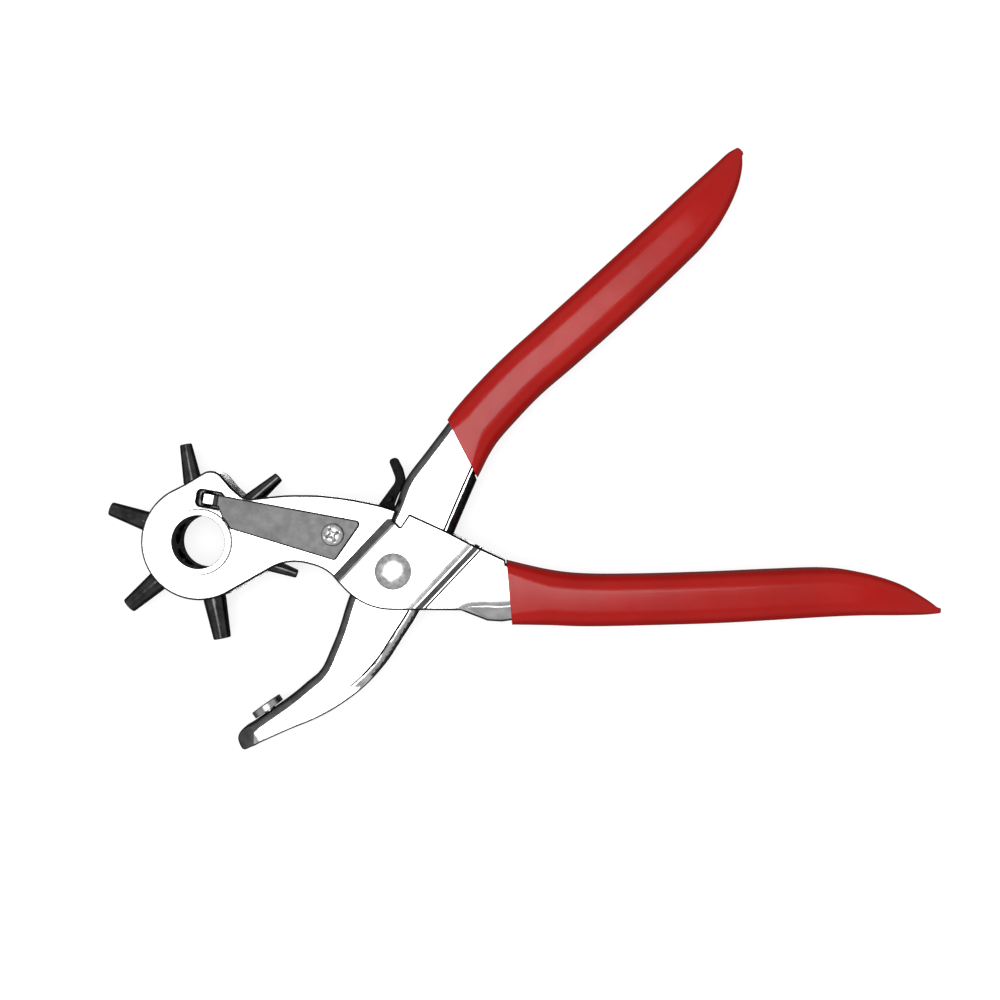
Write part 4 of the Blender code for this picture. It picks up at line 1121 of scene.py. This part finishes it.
def grip_ring(s, low, high, end, lean, wall, share=1.0):
    """Grip points at a station, inset by wall, as (along, across, height)."""
    middle = (low + high) / 2
    half = (high - low) / 2
    fade = max(0.0, min(1.0, (s - (end - TAPER_START)) / TAPER_LENGTH))
    thick = GRIP_H * (1.0 - TAPER * fade ** 2)
    if wall:
        flat = section(middle, half - wall, CHEEK_H + GAP, 0.6, 9)
    else:
        corner = MOUTH_ROUND + (GRIP_ROUND - MOUTH_ROUND) * share
        flat = section(middle, half, thick, corner * min(half, thick), 9)
    return [(s + lean * (across - middle), across, height) for across, height in flat]


def make_grip(name, node, stations, angle, lean, pocket_end, body, look):
    """A dipped sleeve: outside from mouth to tip, and the pocket back to the mouth."""
    end = stations[-1][0]
    wall = TAIL_CLEAR - GAP
    fine = smooth(stations, 8)
    rings = []
    for number, (s, low, high) in enumerate(fine):
        near = max(0.0, 1.0 - number / 8.0)
        rings.append(grip_ring(s, low, high, end, lean * near, 0.0, 1.0 - near))
    centre = sum(stations[-1][1:]) / 2
    last = rings[-1]
    for k in range(1, TIP_RINGS):
        turn = radians(90.0 * k / TIP_RINGS)
        rings.append([(s + TIP_REACH * sin(turn), centre + (across - centre) * cos(turn),
                       height * cos(turn)) for s, across, height in last])
    mouth = grip_ring(*fine[0], end, lean, MOUTH_WALL)
    pocket = [mouth]
    for s, low_s, high_s in stations[1:]:
        if s < pocket_end - 4.0:
            pocket.append(grip_ring(s, low_s, high_s, end, 0.0, wall))
    pocket.append(grip_ring(pocket_end, *interpolate(stations, pocket_end), end, 0.0, wall))

    def placed(point):
        x, y = turned(point[:2], angle)
        return (x, y, MID_Z + point[2])

    bm = bmesh.new()
    loops = [[bm.verts.new(placed(p)) for p in ring] for ring in pocket[::-1] + rings]
    nose = bm.verts.new(placed((end + TIP_REACH, centre, 0.0)))
    count = len(loops[0])
    for i in range(count):
        j = (i + 1) % count
        bm.faces.new((nose, loops[-1][i], loops[-1][j]))
        for number, (ring, following) in enumerate(zip(loops, loops[1:])):
            face = bm.faces.new((ring[i], following[i], following[j], ring[j]))
            # Pocket faces get the darker red: painted shade.
            if number < len(pocket) - 1:
                face.material_index = 1
    bm.faces.new(loops[0])
    made = piece(name, bm, body, [look["grip"], look["pocket_shade"]], 60.0, False)
    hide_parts(node)


# ---- stage, light and camera ---------------------------------------------------------------
def make_stage():
    floor_look = Nodes("pale_floor", grey(0.25), 0.0, 0.8)
    floor_look.colour(floor_look.noise(0.01, 3.0), grey(0.24), grey(0.26))
    floor_look.shader.inputs["Emission Color"].default_value = (1.0, 1.0, 1.0, 1.0)
    floor_look.shader.inputs["Emission Strength"].default_value = 0.78
    floor_look.dark_in_reflections(grey(0.07), 0.65)
    bm = bmesh.new()
    bmesh.ops.create_grid(bm, x_segments=2, y_segments=2, size=3.0)
    mesh = bpy.data.meshes.new("floor")
    bm.to_mesh(mesh)
    bm.free()
    mesh.materials.append(floor_look.material)
    floor = linked("floor", mesh)


def make_world():
    """A pale room, lit at the horizon and a little darker just above it."""
    world = bpy.data.worlds.new("studio")
    bpy.context.scene.world = world
    world.use_nodes = True
    tree = world.node_tree
    place = tree.nodes.new("ShaderNodeTexCoord")
    split = tree.nodes.new("ShaderNodeSeparateXYZ")
    shade = tree.nodes.new("ShaderNodeValToRGB")
    levels = ((0.0, 0.62), (0.07, 0.55), (0.10, 0.22), (0.20, 0.36), (0.35, 0.58),
              (0.70, 0.52), (0.93, 0.32), (1.0, 0.36))
    for height, level in levels[1:-1]:
        shade.color_ramp.elements.new(height).color = (*grey(level), 1.0)
    shade.color_ramp.elements[0].color = (*grey(levels[0][1]), 1.0)
    shade.color_ramp.elements[-1].color = (*grey(levels[-1][1]), 1.0)
    tree.links.new(place.outputs["Generated"], split.inputs["Vector"])
    tree.links.new(split.outputs["Z"], shade.inputs["Fac"])
    tree.links.new(shade.outputs["Color"], tree.nodes["Background"].inputs["Color"])


def make_light(name, place, turn, size, power, mirrored=True):
    """A soft box facing straight down, turned about the vertical by turn degrees."""
    light = bpy.data.lights.new(name, "AREA")
    light.shape = "RECTANGLE"
    light.size = size[0]
    light.size_y = size[1]
    light.energy = power
    made = linked(name, light)
    made.location = place
    made.rotation_euler = (0.0, 0.0, radians(turn))
    made.visible_glossy = mirrored


def make_camera():
    data = bpy.data.cameras.new("camera")
    data.lens = CAMERA_LENS
    data.sensor_width = CAMERA_SENSOR
    camera = linked("camera", data)
    camera.location = Vector(CAMERA_AT) * MM
    bpy.context.scene.camera = camera


def dress(frame, look):
    """Node materials for the CAD solids that stay."""
    for node in ("spring_nut", "pivot_bush", "catch_pin"):
        mesh = frame["nodes"][node].data
        mesh.materials.clear()
        mesh.materials.append(look["bright"])


def corners(bounds):
    return [[float(value) for value in corner] for corner in bounds]


def main():
    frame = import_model()
    look = all_materials()
    make_wheel_lever(look)
    make_anvil_lever(look)
    make_anvil(look)
    make_wheel(look)
    for number, size in enumerate(PUNCH_SIZES):
        make_punch(size, number, look)
    make_eyelet("hub_eyelet_front", 1, look)
    make_eyelet("hub_eyelet_back", -1, look)
    make_pivot_rivet(look)
    make_opening_spring(look)
    make_index_spring(look)
    make_screw(look)
    make_catch(look)
    make_grip("lower_sleeve", "lower_grip", LOWER_GRIP, 0.0, LOWER_MOUTH_LEAN,
              TAIL_END_LOWER + GAP, ROOT, look)
    make_grip("upper_sleeve", "upper_grip", UPPER_GRIP, GRIP_ANGLE, UPPER_MOUTH_LEAN,
              TAIL_END_UPPER + GAP, SWING, look)
    dress(frame, look)

    make_stage()
    make_world()
    make_light("strip_box", (-0.078, 0.03, 1.0), 50.0, (0.635, 0.378), 3.8)
    make_light("overhead_fill", (0.0, 0.05, 1.0), 0.0, (0.8, 0.8), 6.2, False)
    make_camera()
    bpy.context.scene.view_settings.view_transform = "Standard"


main()
